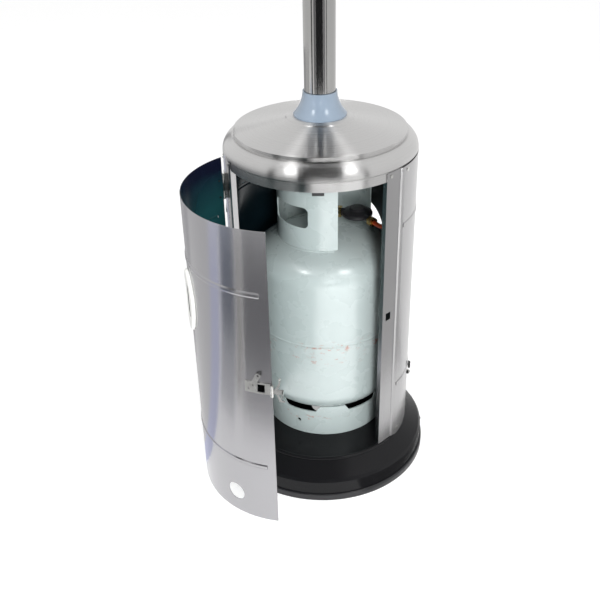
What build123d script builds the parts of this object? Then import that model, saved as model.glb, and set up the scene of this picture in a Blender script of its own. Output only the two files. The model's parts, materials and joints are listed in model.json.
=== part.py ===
"""Gas patio heater on a round foot, with a bottle cupboard whose curved front door stands open.

Units are millimetres. The origin is on the pole's axis at floor level, +Z is up and the
cupboard's opening faces -Y. Azimuths are in degrees from +X, anticlockwise seen from above.
"""

import os
from math import asin, atan2, cos, degrees, pi, radians, sin, tan

from build123d import *
from build123d.topology import SkipClean

os.makedirs("parts", exist_ok=True)

# The three sizes that most others follow
SHELL_R = 190.0
PAN_R = 226.5
COVER_TOP = 777.0

# Sheet metal, screws and fits
SHEET = 1.0
FIT = 0.2
RUNNING = 0.06
SCREW_R = 2.0
SCREW_HOLE_R = 2.2
SCREW_HEAD_R = 4.0
SCREW_HEAD = 1.3
SCREW_LENGTH = 7.0
CUT = 8.0
BIG_CUT = 40.0
FRONT = -90.0
REAR = 90.0

# Foot: a pressed steel pan on a plastic edge ring
PAN_SHEET = 1.5
PAN_WALL_TOP = 46.0
PAN_SHOULDER = 4.0
PAN_SHOULDER_RISE = 6.0
PAN_SLOPE_TOP = 74.5
RING_R = PAN_R + 3.5
RING_HEIGHT = 15.0
RING_WIDTH = 9.0
RING_FLOOR = 3.0
RING_BEVEL = 1.6
WELL_Z = 78.0
BEAD_OUTER_R = SHELL_R - 1.8
BEAD_INNER_R = SHELL_R - 10.0
BEAD_TOP = 81.0
PAN_CENTRE_HOLE_R = 25.0

# Cupboard shell
SHELL_BOTTOM = 76.0
SHELL_TOP = COVER_TOP - 65.0
EDGE_LIFT = 1.3
OPENING_HALF = 52.5
STEP_HALF = 65.0
STEP_DEPTH = 2.7
STEP_TURN = 0.8
PANEL_START = 3.0
FLANGE_R = SHELL_R - 13.0
SWAGE_Z = (218.0, SHELL_TOP - 120.0)
SWAGE_DEPTH = 1.4
SWAGE_HALF_FLAT = 2.5
SWAGE_RAMP = 3.0
REAR_HOLE_R = 84.0
REAR_HOLE_AZIMUTH = 82.0
REAR_HOLE_Z = 455.0
KEEPER_AZIMUTH = -32.7
KEEPER_Z = 403.0
KEEPER_WIDTH = 14.0
KEEPER_HEIGHT = 17.0
STOP_AZIMUTH = 5.0
STOP_Z = 210.0
STOP_R = 8.5
STOP_HEIGHT = 6.5
STOP_NECK = SWAGE_DEPTH + FIT
STUD_Z = 191.0
STUD_LENGTH = 6.0
DOME_NUT_R = 5.5
DOME_R = 4.4
DOME_NUT = 4.0
DOME = 3.5

# Tabs that join the shell to the pan
TAB_SHEET = 1.5
TAB_WIDTH = 20.0
TAB_HEIGHT = 20.0
TAB_AZIMUTHS = {"right": -18.0, "rear": REAR, "left": -162.0}
TAB_FEET = {
    "right": BEAD_INNER_R - 28.0,
    "rear": BEAD_INNER_R - 11.0,
    "left": BEAD_INNER_R - 28.0,
}
TAB_BEND = 5.0
TAB_OVER_BEAD = 1.0
TAB_FACE_GAP = 0.5
TAB_SCREW_Z = 90.0

# Cover
COVER_HOLE_GAP = 0.6
COVER_FLAT_R = 56.0
COVER_ROLL = ((9.0, 1.6), (11.0, 3.2))
COVER_DISC_R = SHELL_R - 22.5
COVER_DISC_Z = COVER_TOP - 24.0
COVER_DISC_EDGE = (4.0, 1.5)
COVER_STEP = 9.0
SKIRT_TOP_R = SHELL_R - 19.0
SKIRT_BOW = (13.0, 10.0)
SKIRT_Z = COVER_TOP - 60.5
SKIRT_TURN = 4.0
BAND_GAP = 0.4
BAND_R = SHELL_R - STEP_DEPTH - SHEET - BAND_GAP
BAND_BOTTOM = SHELL_TOP - 17.0
CATCH_AZIMUTH = -79.0
CATCH_WIDTH = 22.0
CATCH_BOTTOM = SHELL_TOP - 23.5
CATCH_TOP = SHELL_TOP - 6.0
CATCH_SHEET = 1.4
COVER_SCREW_Z = SHELL_TOP - 8.5
STRIP_SCREW_AZIMUTHS = (-34.2, -145.8)
PANEL_SCREW_AZIMUTHS = (-19.5, REAR, -160.5)

# Pole
POLE_R = 30.0
POLE_WALL = 1.0
POLE_JOINT = 1240.0
POLE_TOP = 1720.0
SLEEVE_WALL = 1.5
SLEEVE_LENGTH = 100.0
POLE_SCREW_OFFSET = 25.0
SOCKET_WALL = 2.0
SOCKET_FLANGE_R = 50.0
SOCKET_FLANGE = 3.0
SOCKET_HEIGHT = 70.0
BOLT_R = 2.5
BOLT_HOLE_R = 2.8
BOLT_HEAD_R = 4.0
BOLT_HEAD = 3.5
BOLT_LENGTH = 12.0
SOCKET_BOLT_R = 39.5
COLLAR_BOTTOM_R = 51.5
COLLAR_TOP_R = 33.0
COLLAR_TOP = COVER_TOP + 46.0
COLLAR_BOW = (11.5, 19.0)
COLLAR_WALL = 2.5
COLLAR_RIM = 3.0

# Bottle
BOTTLE_R = 150.0
BOTTLE_BACK_GAP = 7.0
BOTTLE_CENTRE = (0.0, SHELL_R - SHEET - BOTTLE_BACK_GAP - BOTTLE_R)
BOTTLE_WALL = 3.0
BOTTLE_LOW = 186.0
BOTTLE_HIGH = 455.0
HEAD_RISE = 82.0
HEAD_KNUCKLE = 52.0
BASE_DROP = 62.0
BASE_KNUCKLE = 40.0
SEAM_Z = 319.0
SEAM_PROUD = 0.8
SEAM_HALF = 3.0
FOOT_R = 136.0
FOOT_SHEET = 3.0
FOOT_TOP = 152.8
FOOT_WINDOWS = 6
FOOT_WINDOW_FIRST = -101.0
FOOT_WINDOW_Z = 139.0
FOOT_WINDOW_WIDE = 86.0
FOOT_WINDOW_NARROW = 67.0
DRAIN_AZIMUTH = -103.0
DRAIN_Z = 110.0
DRAIN_R = 4.5
GUARD_R = 98.0
GUARD_SHEET = 2.5
GUARD_BOTTOM = 516.2
GUARD_TOP = 652.0
GUARD_HEM = 8.0
GUARD_MOUTH = (-62.0, 20.0)
GUARD_GRIP_AZIMUTH = -125.0
GUARD_GRIP_Z = 585.0
GUARD_GRIP_WIDTH = 92.0
GUARD_GRIP_HEIGHT = 44.0
GUARD_GRIP_CORNER_R = 10.0
BOSS_R = 20.0
BOSS_TOP = 545.0
BOSS_DEPTH = 12.0
VALVE_THREAD_R = 12.0
VALVE_THREAD = 18.0
VALVE_BODY_R = 11.0
VALVE_HEX_R = 15.0
VALVE_HEX = 7.0
VALVE_TOP = 590.0
OUTLET_Z = 561.0
OUTLET_R = 7.0
OUTLET_REACH = 28.0
STEM_R = 4.0
STEM_TOP = 608.0
HANDWHEEL_R = 27.0
HANDWHEEL_Z = 594.0
HANDWHEEL_HEIGHT = 13.0
HANDWHEEL_LOBES = 8
LOBE_CUT_R = 8.0
LOBE_CUT_OUT = 5.0

# Regulator and hose
REGULATOR_CENTRE = (69.0, BOTTLE_CENTRE[1])
REGULATOR_R = 31.5
REGULATOR_SIDE = (
    (0.0, -10.0),
    (21.0, -10.0),
    (REGULATOR_R - 1.5, -4.5),
    (REGULATOR_R, -2.0),
    (REGULATOR_R, 2.0),
    (REGULATOR_R - 1.5, 4.5),
    (18.0, 9.0),
    (15.0, 13.0),
    (0.0, 14.0),
)
INLET_STUB_R = 8.0
INLET_STUB = 8.0
INLET_NUT_R = 12.0
INLET_NUT = (22.0, 37.0)
HOSE_AZIMUTH = -44.0
SPOUT_R = 6.0
SPOUT_REACH = 44.0
HOSE_NUT_R = 10.0
HOSE_NUT_LENGTH = 15.0
FERRULE = 2.0
FERRULE_WALL = 1.5
HOSE_R = 4.5
HOSE_RISE_AZIMUTH = -19.9
HOSE_RISE_R = SHELL_R - 16.1
HOSE_ROUTE = (
    (HOSE_RISE_R, OUTLET_Z + 30.4),
    (HOSE_RISE_R, (OUTLET_Z + COVER_TOP) / 2 - 9.0),
    (135.0, COVER_TOP - 72.0),
    (66.0, COVER_TOP - 55.0),
    (18.0, COVER_TOP - 35.0),
    (0.0, COVER_TOP + 9.0),
    (0.0, COVER_TOP + 45.0),
)
HOSE_FIRST_LENGTH = 42.0
HOSE_BEND = 0.45

# Door, modelled standing open
DOOR_OPEN = 60.0
DOOR_BOTTOM = 84.0
DOOR_TOP = SHELL_TOP - 1.0
DOOR_EDGE_GAP = 1.5
DOOR_PLAIN = 5.0
PIN_OFFSET = 3.7
HINGE_Z = (165.0, SHELL_TOP - 64.0)
HINGE_LENGTH = 51.0
HINGE_PIN_R = 2.0
PIN_HEAD = 1.5
PIN_HEAD_STEP = 1.0
KNUCKLE_R = 3.4
KNUCKLE_GAP = 0.3
LEAF = 1.2
LEAF_WIDTH = 22.0
LEAF_GAP = 0.6
LEAF_RIVET_SHARE = 0.62
VENT_R = 19.0
VENT_FROM_EDGE = 27.0
VENT_Z = 132.0
GRIP_Z = 512.0
GRIP_WIDTH = 64.0
GRIP_HEIGHT = 128.0
GRIP_SLOT_WIDTH = 20.0
GRIP_SLOT_HEIGHT = 72.0
GRIP_NECK = 5.0
GRIP_PROUD = 6.0
GRIP_BACK = 3.0
GRIP_BACK_STEP = 12.0

# Latch on the door's free edge
LATCH_Z = KEEPER_Z
LATCH_SHEET = 1.5
LATCH_HALF_HEIGHT = 12.0
LATCH_TURN = 15.5
LATCH_RIVET_TURN = 13.8
LATCH_RIVET_Z = 7.0
LATCH_PIN_R = 1.5
LATCH_PIN_OUT = 5.8
LATCH_KNUCKLE_R = 3.0
LATCH_KNUCKLE_WEB = 3.0
LATCH_PIN_HEAD = 1.2
CLAW_HALF_HEIGHT = 5.0
CLAW_SHEET = 1.6
CLAW_HOOK = (
    (8.0, -CLAW_HALF_HEIGHT),
    (11.0, -14.0),
    (14.0, -21.5),
    (23.0, -21.5),
    (23.0, -18.5),
    (16.5, -18.0),
    (14.0, -12.0),
    (12.5, -CLAW_HALF_HEIGHT),
)
CLAW_TIP = 12.0
CLAW_BALL_R = 2.2
CLAW_BALL = (14.5, 27.5)
CLAW_PRONG = (
    (11.0, CLAW_HALF_HEIGHT),
    (15.0, 14.0),
    (16.2, 22.0),
    (15.6, CLAW_BALL[1]),
    (13.2, CLAW_BALL[1]),
    (13.0, 22.0),
    (11.0, 15.0),
    (6.0, CLAW_HALF_HEIGHT),
)
LEVER_FROM_EDGE = 11.0
LEVER_RISE = 4.0
LEVER_LIFT = 1.5
LEVER_LENGTH = 38.0
LEVER_WIDTH = 10.0
LEVER_TILT = 63.0
LEVER_SHEET = 1.5
RIVET_R = 1.8
RIVET_HOLE_R = 2.0
RIVET_HEAD_R = 3.4
RIVET_HEAD = 1.2
RIVET_LENGTH = 4.0
RIVET_TAIL = 2.0

# Burner head
HEAD_FLANGE_R = 52.0
HEAD_FLANGE = 3.0
HEAD_BOLT_CIRCLE_R = 41.0
CASE_MOUTH_R = 22.0
CASE_BOTTOM_R = 62.0
CASE_R = 95.0
CASE_CONE = 45.0
CASE_HEIGHT = 150.0
RISER_SHORT = 45.0
CONTROL_RISE = 96.0
KNOB_R = 22.0
KNOB_HEIGHT = 22.0
KNOB_GRIPS = 10
KNOB_SKIRT = 3.0
KNOB_GRIP_R = 3.5
KNOB_GRIP_OUT = 1.5
KNOB_SHAFT_R = 3.0
KNOB_SHAFT_LENGTH = 50.0
KNOB_FACE = 4.0
KNOB_GAP = 1.2
BUTTON_AZIMUTH = -52.0
BUTTON_R = 6.0
BUTTON_PROUD = 9.0
BUTTON_BEZEL_R = 10.0
BUTTON_BEZEL_LIFT = 0.6
BUTTON_BEZEL = 2.2
BUTTON_BORE = 16.0
BUTTON_BODY_R = 8.0
BUTTON_BODY_DEPTH = 24.0
BUTTON_LENGTH = 17.0
VALVE_BLOCK = 15.0
MIXER_R = 10.0
MIXER_HEIGHT = 24.0
VALVE_END = 13.0
PILOT_INSET = 4.0
INLET_WALL = 1.5
BURNER_R = 48.0
BURNER_HEIGHT = 20.0
BURNER_PORTS = 16
BURNER_LIFT = 4.0
BURNER_EDGE = 3.0
BURNER_WALL = 2.0
PORT_R = 2.0
PILOT_Y = -60.0
PILOT_R = 3.0
PILOT_HEIGHT = 68.0
PILOT_TIP_R = 5.5
PILOT_TIP = 8.0
PILOT_GAP = 0.5
DECK_R = 97.5
DECK_SHEET = 1.5
DECK_RIM = 8.0
SCREEN_R = 90.0
SCREEN_HEIGHT = 250.0
SCREEN_COLUMNS = 20
SCREEN_ROWS = 4
SCREEN_SLOT_WIDTH = 16.0
SCREEN_SLOT_HEIGHT = 44.0
SCREEN_PITCH = 58.0
POST_CIRCLE_R = 62.0
POST_R = 6.0
POST_LENGTH = 58.0
POST_THREAD_R = 3.0
POST_THREAD = 12.0
POST_TAIL = 8.0
POST_AZIMUTHS = (30.0, 150.0, 270.0)
BOLT_AZIMUTHS = (0.0, 120.0, 240.0)
DISH_R = 400.0
DISH_SHEET = 1.2
DISH_CROWN_R = 105.0
DISH_STEP = 5.0
DISH_DROP = 60.0
DISH_LIP = 6.0
DISH_CROWN_TURN = 4.0
DISH_SAG = 0.44
DISH_EDGE_ROLL = (6.0, 2.0)
WING_SPAN = 28.0
WING_SHEET = 3.0
WING_BOSS_R = 6.0
WING_BOSS = 6.0
WING_LIFT = 4.0
WING_HEIGHT = 8.0

# Wheels at the rear
WHEEL_R = 38.0
WHEEL_WIDTH = 24.0
WHEEL_LIFT = 3.0
WHEEL_X = 122.0
WHEEL_SIDE_GAP = 1.0
WHEEL_WEB = 4.0
AXLE_R = 5.0
AXLE_Y = PAN_R + 45.5
AXLE_Z = WHEEL_R + WHEEL_LIFT
CAP_R = 9.0
CAP_WIDTH = 6.0
CAP_END = 2.0
RIM_WIDTH = 8.0
HUB_WALL = 6.0
BRACKET_SHEET = 3.0
BRACKET_BOTTOM = 20.0
BRACKET_TOP = 44.0
EAR_RISE = 15.0
EAR_CORNER = (9.0, 4.0)
FOOT_BOLT_Z = 31.0
FOOT_BOLT_LENGTH = 9.0
PAN_BOLT_AZIMUTHS = (15.0, 165.0)
BRACKET_BOLT_AZIMUTHS = (78.0, 102.0)


def polar(radius, azimuth, centre=(0.0, 0.0)):
    """A point at a radius and an azimuth from a vertical axis."""
    turn = radians(azimuth)
    return centre[0] + radius * cos(turn), centre[1] + radius * sin(turn)


def upright(azimuth, centre=(0.0, 0.0)):
    """A vertical plane through an axis: local x runs outwards and local y runs up."""
    turn = radians(azimuth)
    return Plane(
        origin=(*centre, 0),
        x_dir=(cos(turn), sin(turn), 0),
        z_dir=(sin(turn), -cos(turn), 0),
    )


def facing(azimuth, radius, height, centre=(0.0, 0.0)):
    """A plane that touches a cylinder from outside, with its normal outwards and y up."""
    turn = radians(azimuth)
    return Plane(
        origin=(*polar(radius, azimuth, centre), height),
        x_dir=(-sin(turn), cos(turn), 0),
        z_dir=(cos(turn), sin(turn), 0),
    )


def upright_axis(centre=(0.0, 0.0)):
    """The vertical axis through a plan position."""
    return Axis((*centre, 0), (0, 0, 1))


def keep(piece, name):
    """Labels a finished piece and writes it to its own file."""
    piece.part.label = name
    export_step(piece.part, f"parts/{name}.step")


def screws(places, head_r, head, shank_r, shank):
    """Pan-headed screws, one on each plane, heads outwards and shanks inwards."""
    with BuildPart() as group:
        for place in places:
            with BuildSketch(place):
                Circle(head_r)
            extrude(amount=head, taper=18)
            with BuildSketch(place):
                Circle(shank_r)
            extrude(amount=-shank)
    return group


def hex_bolts(places, head_r, head, shank_r, shank):
    """Hexagon-headed bolts, one on each plane, heads outwards and shanks inwards."""
    with BuildPart() as group:
        for place in places:
            with BuildSketch(place):
                RegularPolygon(head_r, 6)
            extrude(amount=head)
            with BuildSketch(place):
                Circle(shank_r)
            extrude(amount=-shank)
    return group


def drill(places, radius, depth):
    """Round holes through sheet metal, cut both ways from each plane."""
    for place in places:
        with BuildSketch(place) as hole:
            Circle(radius)
        extrude(hole.sketch, amount=depth, both=True, mode=Mode.SUBTRACT)


def swage_line(radius, low, high):
    """The outside of an upright sheet, with its raised swages, from bottom to top."""
    points = [(radius, low)]
    for middle in SWAGE_Z:
        points += [
            (radius, middle - SWAGE_HALF_FLAT - SWAGE_RAMP),
            (radius + SWAGE_DEPTH, middle - SWAGE_HALF_FLAT),
            (radius + SWAGE_DEPTH, middle + SWAGE_HALF_FLAT),
            (radius, middle + SWAGE_HALF_FLAT + SWAGE_RAMP),
        ]
    return points + [(radius, high)]


def bent_sheet(line, start, arc, centre=(0.0, 0.0)):
    """Adds sheet metal of one upright outline, bent round an axis over an arc."""
    with BuildSketch(upright(start, centre)) as section:
        with BuildLine():
            Polyline(*line)
            offset(amount=SHEET, side=Side.LEFT, kind=Kind.INTERSECTION)
        make_face()
    revolve(section.sketch, axis=upright_axis(centre), revolution_arc=arc)


def curved_block(inner, outer, low, high, start, arc, centre=(0.0, 0.0), mode=Mode.ADD):
    """Adds or cuts a block between two cylinders that share an upright axis."""
    with BuildSketch(Plane.XY.offset(low)) as plan:
        with BuildLine():
            near = CenterArc(centre, inner, start, arc)
            far = CenterArc(centre, outer, start, arc)
            Line(near @ 0, far @ 0)
            Line(near @ 1, far @ 1)
        make_face()
    extrude(plan.sketch, amount=high - low, mode=mode)


# Foot ring: a U-shaped edging that the pan's rim stands in
with BuildPart() as foot_ring:
    with BuildSketch(Plane.XZ):
        with BuildLine():
            Polyline(
                (RING_R - RING_WIDTH, 0),
                (RING_R, 0),
                (RING_R, RING_HEIGHT - RING_BEVEL),
                (RING_R - RING_BEVEL, RING_HEIGHT),
                (PAN_R + FIT, RING_HEIGHT),
                (PAN_R + FIT, RING_FLOOR),
                (PAN_R - PAN_SHEET - FIT, RING_FLOOR),
                (PAN_R - PAN_SHEET - FIT, RING_HEIGHT / 2),
                (RING_R - RING_WIDTH, RING_HEIGHT / 2),
                close=True,
            )
        make_face()
    revolve(axis=Axis.Z)
keep(foot_ring, "foot_ring")

# Foot pan: wall, shoulder, slope, locating bead and well floor in one pressed sheet
BRACKET_R = PAN_R + FIT + BRACKET_SHEET
EAR_X = WHEEL_X - WHEEL_WIDTH / 2 - WHEEL_SIDE_GAP - BRACKET_SHEET
foot_bolt_places = [facing(turn, PAN_R, FOOT_BOLT_Z) for turn in PAN_BOLT_AZIMUTHS] + [
    facing(turn, BRACKET_R, FOOT_BOLT_Z) for turn in BRACKET_BOLT_AZIMUTHS
]
with BuildPart() as foot_pan:
    with BuildSketch(Plane.XZ):
        with BuildLine() as pan_line:
            wall = Polyline(
                (PAN_R, RING_FLOOR + FIT),
                (PAN_R, PAN_WALL_TOP),
                (PAN_R - PAN_SHOULDER, PAN_WALL_TOP + PAN_SHOULDER_RISE),
                (BEAD_OUTER_R, PAN_SLOPE_TOP),
            )
            bead = ThreePointArc(
                wall @ 1,
                ((BEAD_OUTER_R + BEAD_INNER_R) / 2, BEAD_TOP),
                (BEAD_INNER_R, WELL_Z),
            )
            Line(bead @ 1, (PAN_CENTRE_HOLE_R, WELL_Z))
            offset(amount=PAN_SHEET, side=Side.LEFT)
        make_face()
    revolve(axis=Axis.Z)
    drill(foot_bolt_places, BOLT_HOLE_R, CUT)
keep(foot_pan, "foot_pan")

# Tabs: bent strips that stand on the well floor and carry the shell's lower edge
tab_places = [facing(turn, SHELL_R, TAB_SCREW_Z) for turn in TAB_AZIMUTHS.values()]
TAB_FACE_R = SHELL_R - SHEET - TAB_FACE_GAP
TAB_LIFT = BEAD_TOP + TAB_OVER_BEAD
for side, turn in TAB_AZIMUTHS.items():
    with BuildPart() as tab:
        with BuildSketch(upright(turn)):
            with BuildLine():
                Polyline(
                    (TAB_FEET[side], WELL_Z),
                    (BEAD_INNER_R - TAB_BEND, WELL_Z),
                    (BEAD_INNER_R - TAB_BEND / 2, TAB_LIFT),
                    (TAB_FACE_R, TAB_LIFT),
                    (TAB_FACE_R, TAB_LIFT + TAB_HEIGHT),
                )
                offset(amount=TAB_SHEET, side=Side.LEFT, kind=Kind.INTERSECTION)
            make_face()
        extrude(amount=TAB_WIDTH / 2, both=True)
        drill([facing(turn, SHELL_R, TAB_SCREW_Z)], SCREW_HOLE_R, CUT)
    keep(tab, f"shell_tab_{side}")

# Hinge line and the door's own axis while it stands open
hinge_turn = FRONT - STEP_HALF
pin_centre = polar(SHELL_R + PIN_OFFSET, hinge_turn)
swing = polar(SHELL_R + PIN_OFFSET, hinge_turn - DOOR_OPEN)
DOOR_CENTRE = (pin_centre[0] - swing[0], pin_centre[1] - swing[1])
DOOR_HALF = STEP_HALF - DOOR_EDGE_GAP
DOOR_MIDDLE = FRONT - DOOR_OPEN
FREE_EDGE = DOOR_MIDDLE + DOOR_HALF
HINGE_EDGE = DOOR_MIDDLE - DOOR_HALF


def door_face(from_edge, height, radius=SHELL_R):
    """A plane on the door's outside, placed by degrees in from the free edge."""
    return facing(FREE_EDGE - from_edge, radius, height, DOOR_CENTRE)


def door_ring(inner, outer, low, high):
    """A solid ring about the door's axis, for trimming pieces to the door's curve."""
    with BuildPart() as ring:
        with BuildSketch(Plane.XY.offset(low)):
            with Locations(DOOR_CENTRE):
                Circle(outer)
                Circle(inner, mode=Mode.SUBTRACT)
        extrude(amount=high - low)
    return ring.part


LEAF_INNER_R = SHELL_R + FIT / 2
LEAF_OUTER_R = LEAF_INNER_R + LEAF
LEAF_TURN = degrees(LEAF_WIDTH / SHELL_R)
LEAF_CLEAR = degrees((KNUCKLE_R + LEAF_GAP) / SHELL_R)
RIVET_TURN = LEAF_TURN * LEAF_RIVET_SHARE
leaf_centres = {"shell": (0.0, 0.0), "door": DOOR_CENTRE}
leaf_starts = {"shell": hinge_turn, "door": hinge_turn - DOOR_OPEN}
leaf_ways = {"shell": -1, "door": 1}
leaf_rivet_places = {
    side: [
        facing(
            leaf_starts[side] + leaf_ways[side] * RIVET_TURN,
            LEAF_OUTER_R,
            middle + rise,
            leaf_centres[side],
        )
        for middle in HINGE_Z
        for rise in (-HINGE_LENGTH / 3, HINGE_LENGTH / 3)
    ]
    for side in leaf_centres
}

# Rear shell: the fixed two thirds of the cupboard, stepped in where the door lies over it.
# Its faces are left unmerged, so that the inside and the outside are faceted alike.
PANEL_FIRST = FRONT + STEP_HALF + PANEL_START
PANEL_ARC = 360 - 2 * (STEP_HALF + PANEL_START)
STEP_R = SHELL_R - STEP_DEPTH
STRIP_ARC = STEP_HALF - OPENING_HALF - STEP_TURN
EDGE_BOTTOM = BEAD_TOP + EDGE_LIFT
stop_places = [
    facing(STOP_AZIMUTH, SHELL_R, STOP_Z),
    facing(STOP_AZIMUTH, SHELL_R, STUD_Z),
]
cover_screw_places = [
    facing(turn, STEP_R, COVER_SCREW_Z) for turn in STRIP_SCREW_AZIMUTHS
] + [facing(turn, SHELL_R, COVER_SCREW_Z) for turn in PANEL_SCREW_AZIMUTHS]
with SkipClean(), BuildPart() as rear_shell:
    bent_sheet(swage_line(SHELL_R, SHELL_BOTTOM, SHELL_TOP), PANEL_FIRST, PANEL_ARC)
    for mirrored in (False, True):
        with BuildSketch(Plane.XY.offset(EDGE_BOTTOM)):
            with BuildLine():
                panel = CenterArc((0, 0), SHELL_R, PANEL_FIRST, -PANEL_START)
                step = Line(panel @ 1, polar(STEP_R, FRONT + STEP_HALF - STEP_TURN))
                strip = CenterArc((0, 0), STEP_R, FRONT + STEP_HALF - STEP_TURN, -STRIP_ARC)
                Line(strip @ 1, polar(FLANGE_R, FRONT + OPENING_HALF))
                offset(amount=SHEET, side=Side.RIGHT)
            make_face()
            if mirrored:
                mirror(about=Plane.YZ, mode=Mode.REPLACE)
        extrude(amount=SHELL_TOP - EDGE_BOTTOM)
    with BuildSketch(Plane.XY.offset(BAND_BOTTOM - EDGE_LIFT)):
        Circle(BAND_R + FIT)
        Circle(FLANGE_R - CUT, mode=Mode.SUBTRACT)
    extrude(amount=SHELL_TOP - BAND_BOTTOM + CUT, mode=Mode.SUBTRACT)
    with BuildSketch(facing(REAR_HOLE_AZIMUTH, SHELL_R + CUT, REAR_HOLE_Z)):
        Circle(REAR_HOLE_R)
    extrude(amount=-REAR_HOLE_R, mode=Mode.SUBTRACT)
    with BuildSketch(facing(KEEPER_AZIMUTH, STEP_R, KEEPER_Z)):
        Rectangle(KEEPER_WIDTH, KEEPER_HEIGHT)
    extrude(amount=CUT, both=True, mode=Mode.SUBTRACT)
    drill(cover_screw_places + tab_places + stop_places, SCREW_HOLE_R, CUT)
    drill(leaf_rivet_places["shell"], RIVET_HOLE_R, CUT)
keep(rear_shell, "rear_shell")

# Cover: one spun sheet, from the pole's hole over the disc, step and skirt to the band
with BuildPart() as cover:
    with BuildSketch(Plane.XZ):
        with BuildLine():
            disc = Polyline(
                (POLE_R + COVER_HOLE_GAP, COVER_TOP),
                (COVER_FLAT_R, COVER_TOP),
                *((COVER_FLAT_R + out, COVER_TOP - down) for out, down in COVER_ROLL),
                (COVER_DISC_R - COVER_DISC_EDGE[0], COVER_DISC_Z + COVER_DISC_EDGE[1]),
                (COVER_DISC_R, COVER_DISC_Z),
                (COVER_DISC_R, COVER_DISC_Z - COVER_STEP),
                (SKIRT_TOP_R, COVER_DISC_Z - COVER_STEP),
            )
            skirt = ThreePointArc(
                disc @ 1,
                (SKIRT_TOP_R + SKIRT_BOW[0], COVER_DISC_Z - COVER_STEP - SKIRT_BOW[1]),
                (SHELL_R, SKIRT_Z),
            )
            Polyline(skirt @ 1, (BAND_R, SKIRT_Z - SKIRT_TURN), (BAND_R, BAND_BOTTOM))
            offset(amount=SHEET, side=Side.RIGHT, kind=Kind.INTERSECTION)
        make_face()
    revolve(axis=Axis.Z)
    drill(cover_screw_places, SCREW_HOLE_R, CUT)
    with BuildSketch(Plane.XY.offset(COVER_TOP)):
        with PolarLocations(SOCKET_BOLT_R, 3):
            Circle(BOLT_HOLE_R)
    extrude(amount=-CUT, mode=Mode.SUBTRACT)
keep(cover, "cover")

# Catch: a small dark plate inside the band that the closed door's top edge meets
CATCH_R = BAND_R - SHEET - FIT / 2
CATCH_TURN = degrees(CATCH_WIDTH / CATCH_R)
with BuildPart() as door_catch:
    curved_block(
        CATCH_R - CATCH_SHEET,
        CATCH_R,
        CATCH_BOTTOM,
        CATCH_TOP,
        CATCH_AZIMUTH - CATCH_TURN / 2,
        CATCH_TURN,
    )
keep(door_catch, "door_catch")

# Rubber stop and dome nut on the shell's right side
with BuildPart() as side_stop:
    with BuildSketch(stop_places[0].offset(STOP_NECK)):
        Circle(STOP_R)
    extrude(amount=STOP_HEIGHT - STOP_NECK, taper=12)
    with BuildSketch(stop_places[0].offset(STOP_NECK)):
        Circle(SCREW_R)
    extrude(amount=-STUD_LENGTH)
keep(side_stop, "side_stop")
with BuildPart() as side_nut:
    with BuildSketch(stop_places[1]):
        RegularPolygon(DOME_NUT_R, 6)
    extrude(amount=DOME_NUT)
    with BuildSketch(stop_places[1].offset(DOME_NUT)):
        Circle(DOME_R)
    extrude(amount=DOME, taper=35)
    with BuildSketch(stop_places[1]):
        Circle(SCREW_R)
    extrude(amount=-STUD_LENGTH)
keep(side_nut, "side_nut")

# Pole socket: a flanged spigot bolted under the cover, standing up inside the pole
SPIGOT_R = POLE_R - POLE_WALL - FIT / 2
FLANGE_TOP = COVER_TOP - SHEET
with BuildPart() as pole_socket:
    with BuildSketch(Plane.XY.offset(FLANGE_TOP - SOCKET_FLANGE)):
        Circle(SOCKET_FLANGE_R)
        Circle(SPIGOT_R - SOCKET_WALL, mode=Mode.SUBTRACT)
        with PolarLocations(SOCKET_BOLT_R, 3):
            Circle(BOLT_HOLE_R, mode=Mode.SUBTRACT)
    extrude(amount=SOCKET_FLANGE)
    with BuildSketch(Plane.XY.offset(FLANGE_TOP)):
        Circle(SPIGOT_R)
        Circle(SPIGOT_R - SOCKET_WALL, mode=Mode.SUBTRACT)
    extrude(amount=SOCKET_HEIGHT)
keep(pole_socket, "pole_socket")
# Pole collar: a flared plastic trim that hides the bolts
with BuildPart() as pole_collar:
    with BuildSketch(Plane.XZ):
        with BuildLine():
            rim = Line((COLLAR_BOTTOM_R, COVER_TOP), (COLLAR_BOTTOM_R, COVER_TOP + COLLAR_RIM))
            ThreePointArc(
                rim @ 1,
                (COLLAR_BOTTOM_R - COLLAR_BOW[0], COVER_TOP + COLLAR_BOW[1]),
                (COLLAR_TOP_R, COLLAR_TOP),
            )
            offset(amount=COLLAR_WALL, side=Side.LEFT, kind=Kind.INTERSECTION)
        make_face()
    revolve(axis=Axis.Z)
keep(pole_collar, "pole_collar")


def tube(outer, wall, low, high):
    """A plain upright tube on the pole's axis."""
    with BuildPart() as piece:
        with BuildSketch(Plane.XY.offset(low)):
            Circle(outer)
            Circle(outer - wall, mode=Mode.SUBTRACT)
        extrude(amount=high - low)
    return piece


# Pole: two tubes butted over a sleeve, each held by one screw at the rear
pole_screw_places = [
    facing(REAR, POLE_R, POLE_JOINT + rise) for rise in (-POLE_SCREW_OFFSET, POLE_SCREW_OFFSET)
]
for name, low, high in (
    ("pole_lower", FLANGE_TOP, POLE_JOINT),
    ("pole_upper", POLE_JOINT, POLE_TOP),
):
    with BuildPart() as pole:
        add(tube(POLE_R, POLE_WALL, low, high).part)
        drill(pole_screw_places, SCREW_HOLE_R, CUT)
    keep(pole, name)
with BuildPart() as pole_sleeve:
    add(
        tube(
            SPIGOT_R,
            SLEEVE_WALL,
            POLE_JOINT - SLEEVE_LENGTH / 2,
            POLE_JOINT + SLEEVE_LENGTH / 2,
        ).part
    )
    drill(pole_screw_places, SCREW_HOLE_R, CUT)
keep(pole_sleeve, "pole_sleeve")

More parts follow.
